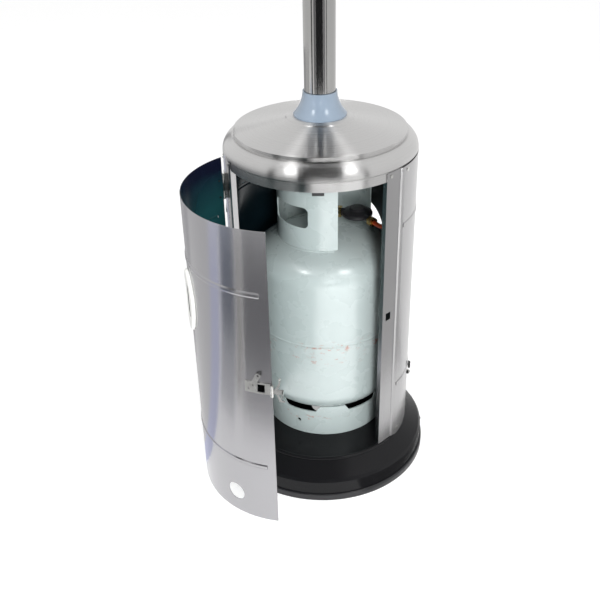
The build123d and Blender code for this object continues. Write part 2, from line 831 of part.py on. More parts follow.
# Self-tapping screws of the cover, the tabs and the pole
keep(
    screws(
        cover_screw_places + tab_places + pole_screw_places,
        SCREW_HEAD_R,
        SCREW_HEAD,
        SCREW_R,
        SCREW_LENGTH,
    ),
    "case_screws",
)


def dished_head(radius, knuckle, edge, rise, way):
    """The knuckle and the dome of a dished end, from the side wall to the axis."""
    reach = radius - knuckle
    lift = rise - knuckle
    below = (reach**2 - lift**2) / (2 * lift)
    dome = rise + below
    lean = atan2(below, reach)
    meet_x = dome * cos(lean)
    meet_z = edge + way * (dome * sin(lean) - below)
    half = lean / 2
    mid_x = reach + knuckle * cos(half)
    mid_z = edge + way * knuckle * sin(half)
    top = edge + way * rise
    quarter = radians(90) - (radians(90) - lean) / 2
    dome_mid_x = dome * cos(quarter)
    dome_mid_z = edge + way * (dome * sin(quarter) - below)
    knuckle_arc = ThreePointArc((radius, edge), (mid_x, mid_z), (meet_x, meet_z))
    dome_arc = ThreePointArc((meet_x, meet_z), (dome_mid_x, dome_mid_z), (0, top))
    return knuckle_arc, dome_arc


# Bottle body: two dished ends on a short wall, with a seam bead and a valve boss
bottle_plane = Plane(
    origin=(*BOTTLE_CENTRE, 0), x_dir=(1, 0, 0), z_dir=(0, -1, 0)
)
with BuildPart() as bottle_body:
    for inset, mode in ((0.0, Mode.ADD), (BOTTLE_WALL, Mode.SUBTRACT)):
        with BuildSketch(bottle_plane):
            with BuildLine():
                dished_head(
                    BOTTLE_R - inset, HEAD_KNUCKLE - inset, BOTTLE_HIGH, HEAD_RISE - inset, 1
                )
                dished_head(
                    BOTTLE_R - inset, BASE_KNUCKLE - inset, BOTTLE_LOW, BASE_DROP - inset, -1
                )
                Line((BOTTLE_R - inset, BOTTLE_LOW), (BOTTLE_R - inset, BOTTLE_HIGH))
                Line((0, BOTTLE_LOW - BASE_DROP + inset), (0, BOTTLE_HIGH + HEAD_RISE - inset))
            make_face()
        revolve(axis=upright_axis(BOTTLE_CENTRE), mode=mode)
        if inset == 0:
            with BuildSketch(bottle_plane):
                with BuildLine():
                    Polyline(
                        (BOTTLE_R - 1, SEAM_Z - SEAM_HALF),
                        (BOTTLE_R, SEAM_Z - SEAM_HALF),
                        (BOTTLE_R + SEAM_PROUD, SEAM_Z - SEAM_HALF / 3),
                        (BOTTLE_R + SEAM_PROUD, SEAM_Z + SEAM_HALF / 3),
                        (BOTTLE_R, SEAM_Z + SEAM_HALF),
                        (BOTTLE_R - 1, SEAM_Z + SEAM_HALF),
                        close=True,
                    )
                make_face()
            revolve(axis=upright_axis(BOTTLE_CENTRE))
    with BuildSketch(Plane.XY.offset(BOSS_TOP)):
        with Locations(BOTTLE_CENTRE):
            Circle(BOSS_R)
    extrude(amount=-BOSS_DEPTH)
    with BuildSketch(Plane.XY.offset(BOSS_TOP)):
        with Locations(BOTTLE_CENTRE):
            Circle(VALVE_THREAD_R + RUNNING)
    extrude(amount=-VALVE_THREAD - BOSS_DEPTH, mode=Mode.SUBTRACT)
keep(bottle_body, "bottle_body")

# Bottle foot: a ring cut into castellations at its top
with BuildPart() as bottle_foot:
    with BuildSketch(Plane.XY.offset(WELL_Z)):
        with Locations(BOTTLE_CENTRE):
            Circle(FOOT_R)
            Circle(FOOT_R - FOOT_SHEET, mode=Mode.SUBTRACT)
    extrude(amount=FOOT_TOP - WELL_Z)
    for step in range(FOOT_WINDOWS):
        turn = FOOT_WINDOW_FIRST + 360 * step / FOOT_WINDOWS
        window_place = facing(turn, FOOT_R + CUT, 0, BOTTLE_CENTRE)
        with BuildSketch(window_place):
            with BuildLine():
                Polyline(
                    (-FOOT_WINDOW_NARROW / 2, FOOT_WINDOW_Z),
                    (FOOT_WINDOW_NARROW / 2, FOOT_WINDOW_Z),
                    (FOOT_WINDOW_WIDE / 2, FOOT_TOP + 1),
                    (-FOOT_WINDOW_WIDE / 2, FOOT_TOP + 1),
                    close=True,
                )
            make_face()
        extrude(amount=-BIG_CUT, mode=Mode.SUBTRACT)
    drill([facing(DRAIN_AZIMUTH, FOOT_R, DRAIN_Z, BOTTLE_CENTRE)], DRAIN_R, CUT)
keep(bottle_foot, "bottle_foot")

# Bottle guard: a collar with a wide mouth, a hand window and a hemmed top edge
MOUTH_TURN = GUARD_MOUTH[1] - GUARD_MOUTH[0]
with BuildPart() as bottle_guard:
    with BuildSketch(upright(GUARD_MOUTH[1], BOTTLE_CENTRE)):
        with BuildLine():
            Polyline(
                (GUARD_R - GUARD_SHEET, GUARD_BOTTOM),
                (GUARD_R, GUARD_BOTTOM),
                (GUARD_R, GUARD_TOP - GUARD_HEM),
                (GUARD_R + GUARD_SHEET / 2, GUARD_TOP - GUARD_HEM),
                (GUARD_R + GUARD_SHEET / 2, GUARD_TOP - 1),
                (GUARD_R, GUARD_TOP),
                (GUARD_R - GUARD_SHEET, GUARD_TOP),
                close=True,
            )
        make_face()
    revolve(axis=upright_axis(BOTTLE_CENTRE), revolution_arc=360 - MOUTH_TURN)
    with BuildSketch(facing(GUARD_GRIP_AZIMUTH, GUARD_R + CUT, GUARD_GRIP_Z, BOTTLE_CENTRE)):
        RectangleRounded(GUARD_GRIP_WIDTH, GUARD_GRIP_HEIGHT, GUARD_GRIP_CORNER_R)
    extrude(amount=-BIG_CUT, mode=Mode.SUBTRACT)
keep(bottle_guard, "bottle_guard")

# Bottle valve: thread, hexagon, body, side outlet and stem in one turned piece
valve_axis = Plane(origin=(*BOTTLE_CENTRE, 0))
outlet_plane = Plane(
    origin=(*BOTTLE_CENTRE, OUTLET_Z), x_dir=(0, 1, 0), z_dir=(1, 0, 0)
)
with BuildPart() as bottle_valve:
    for radius, low, high in (
        (VALVE_THREAD_R, BOSS_TOP - VALVE_THREAD, BOSS_TOP),
        (VALVE_BODY_R, BOSS_TOP, VALVE_TOP),
        (STEM_R, VALVE_TOP, STEM_TOP),
    ):
        with BuildSketch(valve_axis.offset(low)):
            Circle(radius)
        extrude(amount=high - low)
    with BuildSketch(valve_axis.offset(BOSS_TOP)):
        RegularPolygon(VALVE_HEX_R, 6)
    extrude(amount=VALVE_HEX)
    with BuildSketch(outlet_plane):
        Circle(OUTLET_R)
    extrude(amount=OUTLET_REACH)
keep(bottle_valve, "bottle_valve")

# Handwheel: a scalloped wheel that turns on the stem
with BuildPart() as handwheel:
    with BuildSketch(valve_axis.offset(HANDWHEEL_Z)):
        Circle(HANDWHEEL_R)
        Circle(STEM_R + RUNNING, mode=Mode.SUBTRACT)
        with PolarLocations(HANDWHEEL_R + LOBE_CUT_OUT, HANDWHEEL_LOBES):
            Circle(LOBE_CUT_R, mode=Mode.SUBTRACT)
    extrude(amount=HANDWHEEL_HEIGHT)
keep(handwheel, "handwheel")

# Regulator: a domed disc with a spout for the hose, joined by a nut to the valve
spout_plane = Plane(
    origin=(*REGULATOR_CENTRE, OUTLET_Z),
    x_dir=(0, 0, 1),
    z_dir=(*polar(1, HOSE_AZIMUTH), 0),
)
with BuildPart() as regulator:
    with BuildSketch(
        Plane(origin=(*REGULATOR_CENTRE, OUTLET_Z), x_dir=(1, 0, 0), z_dir=(0, -1, 0))
    ):
        with BuildLine():
            Polyline(*REGULATOR_SIDE, close=True)
        make_face()
    revolve(axis=upright_axis(REGULATOR_CENTRE))
    with BuildSketch(spout_plane):
        Circle(SPOUT_R)
    extrude(amount=SPOUT_REACH)
    with BuildSketch(outlet_plane.offset(INLET_NUT[1])):
        Circle(INLET_STUB_R)
    extrude(amount=INLET_STUB)
keep(regulator, "regulator")
with BuildPart() as regulator_nut:
    with BuildSketch(outlet_plane.offset(INLET_NUT[0])):
        RegularPolygon(INLET_NUT_R, 6)
    extrude(amount=INLET_NUT[1] - INLET_NUT[0])
    with BuildSketch(outlet_plane.offset(INLET_NUT[0])):
        Circle(OUTLET_R + RUNNING)
    extrude(amount=OUTLET_REACH - INLET_NUT[0] + FIT, mode=Mode.SUBTRACT)
keep(regulator_nut, "regulator_nut")

# Hose nut at the end of the spout
hose_start = SPOUT_REACH + HOSE_NUT_LENGTH
with BuildPart() as hose_nut:
    with BuildSketch(spout_plane.offset(SPOUT_REACH)):
        RegularPolygon(HOSE_NUT_R, 6)
    extrude(amount=HOSE_NUT_LENGTH - FERRULE)
    with BuildSketch(spout_plane.offset(hose_start - FERRULE)):
        Circle(HOSE_R + FERRULE_WALL)
    extrude(amount=FERRULE)
keep(hose_nut, "hose_nut")

# Gas hose: straight runs and tangent arcs from the nut up into the pole
first = Vector(*polar(hose_start, HOSE_AZIMUTH, REGULATOR_CENTRE), OUTLET_Z)
second = Vector(
    *polar(hose_start + HOSE_FIRST_LENGTH, HOSE_AZIMUTH, REGULATOR_CENTRE), OUTLET_Z
)
hose_points = [first, second] + [
    Vector(*polar(reach, HOSE_RISE_AZIMUTH), height) for reach, height in HOSE_ROUTE
]
runs = [b - a for a, b in zip(hose_points, hose_points[1:])]
hose_radii = []
for before, after in zip(runs, runs[1:]):
    turn = radians(before.get_angle(after))
    shorter = min(before.length, after.length)
    hose_radii.append(HOSE_BEND * shorter / tan(turn / 2))
with BuildPart() as gas_hose:
    with BuildLine() as hose_path:
        FilletPolyline(*hose_points, radius=hose_radii)
    with BuildSketch(Plane(origin=first, z_dir=runs[0].normalized())):
        Circle(HOSE_R)
    sweep()
keep(gas_hose, "gas_hose")
hose_length = sum(edge.length for edge in hose_path.line.edges())
print("hose runs", [round(run.length, 1) for run in runs])
print("hose radii", [round(radius, 1) for radius in hose_radii])
print("hose length", round(hose_length, 1), "volume ratio",
      round(gas_hose.part.volume / (pi * HOSE_R**2 * hose_length), 4))

# Riser hose: the straight stretch inside the pole
CONTROL_Z = POLE_TOP + CONTROL_RISE
RISER_TOP = CONTROL_Z - RISER_SHORT
with BuildPart() as riser_hose:
    with BuildSketch(Plane.XY.offset(HOSE_ROUTE[-1][1])):
        Circle(HOSE_R)
    extrude(amount=RISER_TOP - HOSE_ROUTE[-1][1])
keep(riser_hose, "riser_hose")

# Door panel: a curved sheet with two swages, a vent, the latch slot and the grip's hole
LATCH_IN_R = SHELL_R + FIT / 2
LATCH_OUT_R = LATCH_IN_R + LATCH_SHEET
SLOT_FROM_EDGE = FRONT + DOOR_HALF - KEEPER_AZIMUTH
latch_rivet_places = [
    door_face(LATCH_RIVET_TURN, LATCH_Z + rise, LATCH_OUT_R)
    for rise in (-LATCH_RIVET_Z, LATCH_RIVET_Z)
]
lever_place = door_face(LEVER_FROM_EDGE, LATCH_Z + LEVER_RISE, LATCH_OUT_R + LEVER_LIFT)
NECK_WIDTH = GRIP_SLOT_WIDTH + 2 * GRIP_NECK
NECK_HEIGHT = GRIP_SLOT_HEIGHT + 2 * GRIP_NECK
with BuildPart() as door_panel:
    bent_sheet(
        swage_line(SHELL_R, DOOR_BOTTOM, DOOR_TOP),
        HINGE_EDGE + DOOR_PLAIN,
        2 * (DOOR_HALF - DOOR_PLAIN),
        DOOR_CENTRE,
    )
    for start in (HINGE_EDGE, FREE_EDGE - DOOR_PLAIN):
        curved_block(
            SHELL_R - SHEET, SHELL_R, DOOR_BOTTOM, DOOR_TOP, start, DOOR_PLAIN, DOOR_CENTRE
        )
    with BuildSketch(door_face(VENT_FROM_EDGE, VENT_Z)):
        Circle(VENT_R)
    extrude(amount=CUT, both=True, mode=Mode.SUBTRACT)
    with BuildSketch(door_face(SLOT_FROM_EDGE, LATCH_Z)):
        Rectangle(KEEPER_WIDTH, KEEPER_HEIGHT)
    extrude(amount=CUT, both=True, mode=Mode.SUBTRACT)
    with BuildSketch(door_face(DOOR_HALF, GRIP_Z)):
        SlotOverall(NECK_HEIGHT + 2 * FIT, NECK_WIDTH + 2 * FIT, rotation=90)
    extrude(amount=CUT, both=True, mode=Mode.SUBTRACT)
    drill(latch_rivet_places + leaf_rivet_places["door"], RIVET_HOLE_R, CUT)
    drill([lever_place], RIVET_HOLE_R, CUT)
keep(door_panel, "door_panel")

# Door grip: an oval plastic surround on both faces, with a slot for the fingers
with BuildPart() as door_grip:
    for height, width, inner, outer in (
        (GRIP_HEIGHT, GRIP_WIDTH, SHELL_R + FIT / 2, SHELL_R + GRIP_PROUD),
        (NECK_HEIGHT, NECK_WIDTH, SHELL_R - SHEET - FIT, SHELL_R + FIT),
        (
            GRIP_HEIGHT - GRIP_BACK_STEP,
            GRIP_WIDTH - GRIP_BACK_STEP,
            SHELL_R - SHEET - GRIP_BACK,
            SHELL_R - SHEET - FIT / 2,
        ),
    ):
        with BuildPart(mode=Mode.PRIVATE) as layer:
            with BuildSketch(door_face(DOOR_HALF, GRIP_Z, inner - CUT)):
                SlotOverall(height, width, rotation=90)
            extrude(amount=outer - inner + 2 * CUT)
            add(
                door_ring(inner, outer, GRIP_Z - GRIP_HEIGHT, GRIP_Z + GRIP_HEIGHT),
                mode=Mode.INTERSECT,
            )
        add(layer.part)
    with BuildSketch(door_face(DOOR_HALF, GRIP_Z)):
        SlotOverall(GRIP_SLOT_HEIGHT, GRIP_SLOT_WIDTH, rotation=90)
    extrude(amount=CUT, both=True, mode=Mode.SUBTRACT)
keep(door_grip, "door_grip")

# Hinges: each has a leaf on the shell, a leaf on the door and a pin
knuckle = HINGE_LENGTH / 3
for position, middle in zip(("lower", "upper"), HINGE_Z):
    low = middle - HINGE_LENGTH / 2
    spans = {
        "shell": (
            (low, low + knuckle - KNUCKLE_GAP),
            (low + 2 * knuckle + KNUCKLE_GAP, low + HINGE_LENGTH),
        ),
        "door": ((low + knuckle, low + 2 * knuckle),),
    }
    for side, centre in leaf_centres.items():
        start = leaf_starts[side]
        way = leaf_ways[side]
        with BuildPart() as leaf:
            curved_block(
                LEAF_INNER_R,
                LEAF_OUTER_R,
                low,
                low + HINGE_LENGTH,
                start + way * LEAF_CLEAR,
                way * (LEAF_TURN - LEAF_CLEAR),
                centre,
            )
            for bottom, top in spans[side]:
                curved_block(
                    LEAF_INNER_R, LEAF_OUTER_R, bottom, top, start, way * LEAF_CLEAR, centre
                )
                with BuildSketch(Plane.XY.offset(bottom)):
                    with Locations(pin_centre):
                        Circle(KNUCKLE_R)
                extrude(amount=top - bottom)
            with BuildSketch(Plane.XY.offset(low)):
                with Locations(pin_centre):
                    Circle(HINGE_PIN_R + RUNNING)
            extrude(amount=HINGE_LENGTH, mode=Mode.SUBTRACT)
            drill(
                [place for place in leaf_rivet_places[side] if abs(place.origin.Z - middle) < HINGE_LENGTH],
                RIVET_HOLE_R,
                CUT,
            )
        keep(leaf, f"hinge_{side}_leaf_{position}")
with BuildPart() as hinge_pins:
    for middle in HINGE_Z:
        with BuildSketch(Plane.XY.offset(middle - HINGE_LENGTH / 2)):
            with Locations(pin_centre):
                Circle(HINGE_PIN_R)
        extrude(amount=HINGE_LENGTH)
        with BuildSketch(Plane.XY.offset(middle + HINGE_LENGTH / 2)):
            with Locations(pin_centre):
                Circle(HINGE_PIN_R + PIN_HEAD_STEP)
        extrude(amount=PIN_HEAD)
keep(hinge_pins, "hinge_pins")
for side in leaf_centres:
    keep(
        screws(leaf_rivet_places[side], RIVET_HEAD_R, RIVET_HEAD, RIVET_R, RIVET_LENGTH),
        f"hinge_{side}_rivets",
    )

# Latch plate: a curved plate whose two knuckles stand at the door's free edge
latch_pin_centre = polar(SHELL_R + LATCH_PIN_OUT, FREE_EDGE, DOOR_CENTRE)
edge_face = facing(FREE_EDGE, SHELL_R + LATCH_PIN_OUT, LATCH_Z, DOOR_CENTRE)


def edge_plan(height):
    """A level plane on the latch pin: x runs past the door's edge and y runs inwards."""
    return Plane(
        origin=(*latch_pin_centre, height),
        x_dir=edge_face.x_dir,
        z_dir=(0, 0, 1),
    )


LATCH_KNUCKLES = (
    (LATCH_Z - LATCH_HALF_HEIGHT, LATCH_Z - CLAW_HALF_HEIGHT - KNUCKLE_GAP),
    (LATCH_Z + CLAW_HALF_HEIGHT + KNUCKLE_GAP, LATCH_Z + LATCH_HALF_HEIGHT),
)
with BuildPart() as latch_plate:
    curved_block(
        LATCH_IN_R,
        LATCH_OUT_R,
        LATCH_Z - LATCH_HALF_HEIGHT,
        LATCH_Z + LATCH_HALF_HEIGHT,
        FREE_EDGE - LATCH_TURN,
        LATCH_TURN,
        DOOR_CENTRE,
    )
    with BuildSketch(door_face(SLOT_FROM_EDGE, LATCH_Z)):
        Rectangle(KEEPER_WIDTH, KEEPER_HEIGHT)
    extrude(amount=CUT, both=True, mode=Mode.SUBTRACT)
    for low, high in LATCH_KNUCKLES:
        with BuildSketch(edge_plan(low)):
            Circle(LATCH_KNUCKLE_R)
            with BuildLine():
                Polyline(
                    (-LATCH_KNUCKLE_WEB, 0),
                    (0, 0),
                    (0, LATCH_PIN_OUT - FIT),
                    (-LATCH_KNUCKLE_WEB, LATCH_PIN_OUT - FIT),
                    close=True,
                )
            make_face()
            Circle(LATCH_PIN_R + RUNNING, mode=Mode.SUBTRACT)
        extrude(amount=high - low)
    drill(latch_rivet_places + [lever_place], RIVET_HOLE_R, CUT)
keep(latch_plate, "latch_plate")

# Latch pin
with BuildPart() as latch_pin:
    with BuildSketch(edge_plan(LATCH_Z - LATCH_HALF_HEIGHT)):
        Circle(LATCH_PIN_R)
    extrude(amount=2 * LATCH_HALF_HEIGHT)
    with BuildSketch(edge_plan(LATCH_Z + LATCH_HALF_HEIGHT)):
        Circle(LATCH_PIN_R + PIN_HEAD_STEP)
    extrude(amount=LATCH_PIN_HEAD)
keep(latch_pin, "latch_pin")

# Latch claw: a barrel, a tongue for the keeper's hole and two finger prongs
TONGUE_OUT = SHELL_R * radians(SLOT_FROM_EDGE)
with BuildPart() as latch_claw:
    with BuildSketch(edge_plan(LATCH_Z - CLAW_HALF_HEIGHT)):
        Circle(LATCH_KNUCKLE_R)
    extrude(amount=2 * CLAW_HALF_HEIGHT)
    with BuildSketch(edge_face):
        with BuildLine():
            Polyline(
                (0, -CLAW_HALF_HEIGHT),
                *CLAW_HOOK,
                (TONGUE_OUT + CLAW_SHEET / 2, -CLAW_HALF_HEIGHT),
                (TONGUE_OUT + CLAW_SHEET / 2, CLAW_HALF_HEIGHT),
                *CLAW_PRONG,
                (0, CLAW_HALF_HEIGHT),
                close=True,
            )
        make_face()
    extrude(amount=CLAW_SHEET / 2, both=True)
    with BuildSketch(edge_face):
        with Locations((TONGUE_OUT, 0)):
            Rectangle(CLAW_SHEET, 2 * CLAW_HALF_HEIGHT)
    extrude(amount=CLAW_TIP)
    with Locations(edge_face.location * Location((*CLAW_BALL, 0))):
        Sphere(CLAW_BALL_R)
    with BuildSketch(edge_plan(LATCH_Z - LATCH_HALF_HEIGHT)):
        Circle(LATCH_PIN_R + RUNNING)
    extrude(amount=2 * LATCH_HALF_HEIGHT, mode=Mode.SUBTRACT)
keep(latch_claw, "latch_claw")

# Latch lever: a flat plate that turns on its own rivet beside the slot
with BuildPart() as latch_lever:
    with BuildSketch(lever_place):
        with Locations(Location((0, 0), LEVER_TILT)):
            with Locations(((LEVER_LENGTH - LEVER_WIDTH) / 2, 0)):
                SlotOverall(LEVER_LENGTH, LEVER_WIDTH)
            with Locations((LEVER_LENGTH - LEVER_WIDTH, 0)):
                Circle(RIVET_HOLE_R, mode=Mode.SUBTRACT)
        Circle(RIVET_R + RUNNING, mode=Mode.SUBTRACT)
    extrude(amount=LEVER_SHEET)
keep(latch_lever, "latch_lever")

# Latch rivets: two hold the plate and the third, with a shoulder, carries the lever
with BuildPart() as latch_rivets:
    add(screws(latch_rivet_places, RIVET_HEAD_R, RIVET_HEAD, RIVET_R, RIVET_LENGTH).part)
    with BuildSketch(lever_place.offset(-LEVER_LIFT + FIT)):
        Circle(RIVET_HEAD_R)
    extrude(amount=LEVER_LIFT - 2 * FIT)
    with BuildSketch(lever_place.offset(-LEVER_LIFT - LATCH_SHEET - RIVET_TAIL)):
        Circle(RIVET_R)
    extrude(amount=LEVER_LIFT + LATCH_SHEET + RIVET_TAIL + LEVER_SHEET + FIT)
    with BuildSketch(lever_place.offset(LEVER_SHEET + FIT)):
        Circle(RIVET_HEAD_R)
    extrude(amount=RIVET_HEAD)
keep(latch_rivets, "latch_rivets")


def stack(places, radius, length):
    """Plain pins or discs of one radius, one standing on each plane."""
    for place in places:
        with BuildSketch(place) as disc:
            Circle(radius)
        extrude(disc.sketch, amount=length)


# Head socket: a flanged spigot in the pole's top that carries the burner case
with BuildPart() as head_socket:
    with BuildSketch(Plane.XY.offset(POLE_TOP - SOCKET_HEIGHT)):
        Circle(SPIGOT_R)
        Circle(SPIGOT_R - SOCKET_WALL, mode=Mode.SUBTRACT)
    extrude(amount=SOCKET_HEIGHT)
    with BuildSketch(Plane.XY.offset(POLE_TOP)):
        Circle(HEAD_FLANGE_R)
        Circle(SPIGOT_R - SOCKET_WALL, mode=Mode.SUBTRACT)
        with PolarLocations(HEAD_BOLT_CIRCLE_R, 3):
            Circle(BOLT_HOLE_R, mode=Mode.SUBTRACT)
    extrude(amount=HEAD_FLANGE)
keep(head_socket, "head_socket")

# Burner case: a spun cup whose bottom is bolted to the head socket
CASE_FLOOR = POLE_TOP + HEAD_FLANGE
CASE_TOP = CASE_FLOOR + CASE_HEIGHT
knob_place = facing(FRONT, CASE_R, CONTROL_Z)
button_place = facing(BUTTON_AZIMUTH, CASE_R, CONTROL_Z)
with BuildPart() as burner_case:
    with BuildSketch(Plane.XZ):
        with BuildLine():
            Polyline(
                (CASE_MOUTH_R, CASE_FLOOR),
                (CASE_BOTTOM_R, CASE_FLOOR),
                (CASE_R, CASE_FLOOR + CASE_CONE),
                (CASE_R, CASE_TOP),
            )
            offset(amount=SHEET, side=Side.LEFT, kind=Kind.INTERSECTION)
        make_face()
    revolve(axis=Axis.Z)
    with BuildSketch(Plane.XY.offset(CASE_FLOOR)):
        with PolarLocations(HEAD_BOLT_CIRCLE_R, 3):
            Circle(BOLT_HOLE_R)
    extrude(amount=CUT, mode=Mode.SUBTRACT)
    drill([knob_place], KNOB_SHAFT_R + PIN_HEAD_STEP, CUT)
    drill([button_place], BUTTON_BODY_R + FIT, CUT)
keep(burner_case, "burner_case")

# Bolts of both sockets, heads on the sheet metal side
socket_bolt_places = [
    Plane(origin=(*polar(SOCKET_BOLT_R, turn), COVER_TOP)) for turn in BOLT_AZIMUTHS
]
head_bolt_places = [
    Plane(origin=(*polar(HEAD_BOLT_CIRCLE_R, turn), CASE_FLOOR + SHEET))
    for turn in BOLT_AZIMUTHS
]
keep(
    hex_bolts(
        socket_bolt_places + head_bolt_places, BOLT_HEAD_R, BOLT_HEAD, BOLT_R, BOLT_LENGTH
    ),
    "socket_bolts",
)

# Gas valve: block, inlet, mixer tube, pilot tube and the knob's spindle
with BuildPart() as gas_valve:
    with BuildSketch(Plane.XY.offset(CONTROL_Z - VALVE_BLOCK)):
        with Locations((0, (PILOT_Y + PILOT_INSET) / 2)):
            Rectangle(2 * VALVE_BLOCK, 2 * VALVE_END - PILOT_Y)
    extrude(amount=2 * VALVE_BLOCK)
    stack([Plane.XY.offset(RISER_TOP)], HOSE_R + INLET_WALL, CONTROL_Z - VALVE_BLOCK - RISER_TOP)
    stack([Plane.XY.offset(CONTROL_Z + VALVE_BLOCK)], MIXER_R, MIXER_HEIGHT)
    pilot_foot = Plane(origin=(0, PILOT_Y, CONTROL_Z + VALVE_BLOCK))
    stack([pilot_foot], PILOT_R, PILOT_HEIGHT)
    stack([pilot_foot.offset(PILOT_HEIGHT)], PILOT_TIP_R, PILOT_TIP)
    with BuildSketch(knob_place.offset(KNOB_GAP + KNOB_HEIGHT - KNOB_FACE)):
        Circle(KNOB_SHAFT_R)
    extrude(amount=-KNOB_SHAFT_LENGTH)
keep(gas_valve, "gas_valve")

# Control knob: a grooved knob that turns on the spindle
with BuildPart() as control_knob:
    with BuildSketch(knob_place.offset(KNOB_GAP)):
        Circle(KNOB_R + KNOB_SKIRT)
    extrude(amount=KNOB_SKIRT)
    with BuildSketch(knob_place.offset(KNOB_GAP + KNOB_SKIRT)):
        Circle(KNOB_R)
        with PolarLocations(KNOB_R + KNOB_GRIP_OUT, KNOB_GRIPS):
            Circle(KNOB_GRIP_R, mode=Mode.SUBTRACT)
    extrude(amount=KNOB_HEIGHT - KNOB_SKIRT)
    with BuildSketch(knob_place.offset(KNOB_GAP)):
        Circle(KNOB_SHAFT_R + RUNNING)
    extrude(amount=KNOB_HEIGHT - KNOB_FACE + FIT, mode=Mode.SUBTRACT)
keep(control_knob, "control_knob")

# Igniter: a fixed barrel through the case and the button that slides in it
with BuildPart() as igniter_body:
    with BuildSketch(button_place.offset(-BUTTON_BODY_DEPTH)):
        Circle(BUTTON_BODY_R)
    extrude(amount=BUTTON_BODY_DEPTH + BUTTON_BEZEL)
    with BuildSketch(button_place.offset(BUTTON_BEZEL_LIFT)):
        Circle(BUTTON_BEZEL_R)
    extrude(amount=BUTTON_BEZEL)
    with BuildSketch(button_place.offset(BUTTON_BEZEL_LIFT + BUTTON_BEZEL)):
        Circle(BUTTON_R + RUNNING)
    extrude(amount=-BUTTON_BORE, mode=Mode.SUBTRACT)
keep(igniter_body, "igniter_body")
with BuildPart() as igniter_button:
    with BuildSketch(button_place.offset(BUTTON_PROUD)):
        Circle(BUTTON_R)
    extrude(amount=-BUTTON_LENGTH)
keep(igniter_button, "igniter_button")

# Burner: a flat drum with a ring of flame ports, on a stem through the deck
DECK_TOP = CASE_TOP + DECK_SHEET
drum_low = DECK_TOP + BURNER_LIFT
drum_high = drum_low + BURNER_HEIGHT
mixer_top = CONTROL_Z + VALVE_BLOCK + MIXER_HEIGHT
with BuildPart() as burner:
    with BuildSketch(Plane.XZ):
        with BuildLine():
            Polyline(
                (MIXER_R - BURNER_WALL, mixer_top),
                (MIXER_R, mixer_top),
                (MIXER_R, drum_low),
                (BURNER_R, drum_low + BURNER_EDGE),
                (BURNER_R, drum_high - BURNER_EDGE),
                (0, drum_high),
                (0, drum_high - BURNER_WALL),
                (BURNER_R - BURNER_WALL, drum_high - BURNER_EDGE - BURNER_WALL),
                (BURNER_R - BURNER_WALL, drum_low + BURNER_EDGE + BURNER_WALL),
                (MIXER_R - BURNER_WALL, drum_low + BURNER_WALL),
                close=True,
            )
        make_face()
    revolve(axis=Axis.Z)
    for port in range(BURNER_PORTS):
        port_plane = facing(360 * port / BURNER_PORTS, BURNER_R, (drum_low + drum_high) / 2)
        drill([port_plane], PORT_R, CUT)
keep(burner, "burner")

# Deck: the flat top of the case, which the screen stands on
with BuildPart() as burner_deck:
    with BuildSketch(Plane.XZ):
        with BuildLine():
            Polyline(
                (MIXER_R + BURNER_WALL, DECK_TOP),
                (DECK_R, DECK_TOP),
                (DECK_R, DECK_TOP - DECK_RIM),
            )
            offset(amount=DECK_SHEET, side=Side.RIGHT, kind=Kind.INTERSECTION)
        make_face()
    revolve(axis=Axis.Z)
    drill([Plane(origin=(0, PILOT_Y, DECK_TOP))], PILOT_R + PILOT_GAP, CUT)
keep(burner_deck, "burner_deck")

# Emitter screen: a cylinder pierced by rows of slots
SCREEN_TOP = DECK_TOP + SCREEN_HEIGHT
with BuildPart() as emitter_screen:
    add(tube(SCREEN_R, SHEET, DECK_TOP, SCREEN_TOP).part)
    slot_places = [
        facing(
            360 * (column + row % 2 / 2) / SCREEN_COLUMNS,
            SCREEN_R,
            (DECK_TOP + SCREEN_TOP) / 2 + (row - (SCREEN_ROWS - 1) / 2) * SCREEN_PITCH,
        ).location
        for row in range(SCREEN_ROWS)
        for column in range(SCREEN_COLUMNS)
    ]
    with Locations(*slot_places):
        Box(SCREEN_SLOT_WIDTH, SCREEN_SLOT_HEIGHT, CUT, mode=Mode.SUBTRACT)
keep(emitter_screen, "emitter_screen")

# Emitter cap: a lid over the screen that holds the reflector's posts
CAP_TOP = SCREEN_TOP + DECK_SHEET
post_places = [
    Plane(origin=(*polar(POST_CIRCLE_R, turn), CAP_TOP)) for turn in POST_AZIMUTHS
]
with BuildPart() as emitter_cap:
    with BuildSketch(Plane.XZ):
        with BuildLine():
            Polyline((0, CAP_TOP), (DECK_R, CAP_TOP), (DECK_R, CAP_TOP - DECK_RIM))
            offset(amount=DECK_SHEET, side=Side.RIGHT, kind=Kind.INTERSECTION)
        make_face()
    revolve(axis=Axis.Z)
    drill(post_places, POST_THREAD_R + RUNNING, CUT)
keep(emitter_cap, "emitter_cap")

# Reflector posts: shouldered pillars threaded at both ends
with BuildPart() as reflector_posts:
    stack(post_places, POST_R, POST_LENGTH)
    stack([place.offset(POST_LENGTH) for place in post_places], POST_THREAD_R, POST_THREAD)
    stack([place.offset(-POST_TAIL) for place in post_places], POST_THREAD_R, POST_TAIL)
keep(reflector_posts, "reflector_posts")

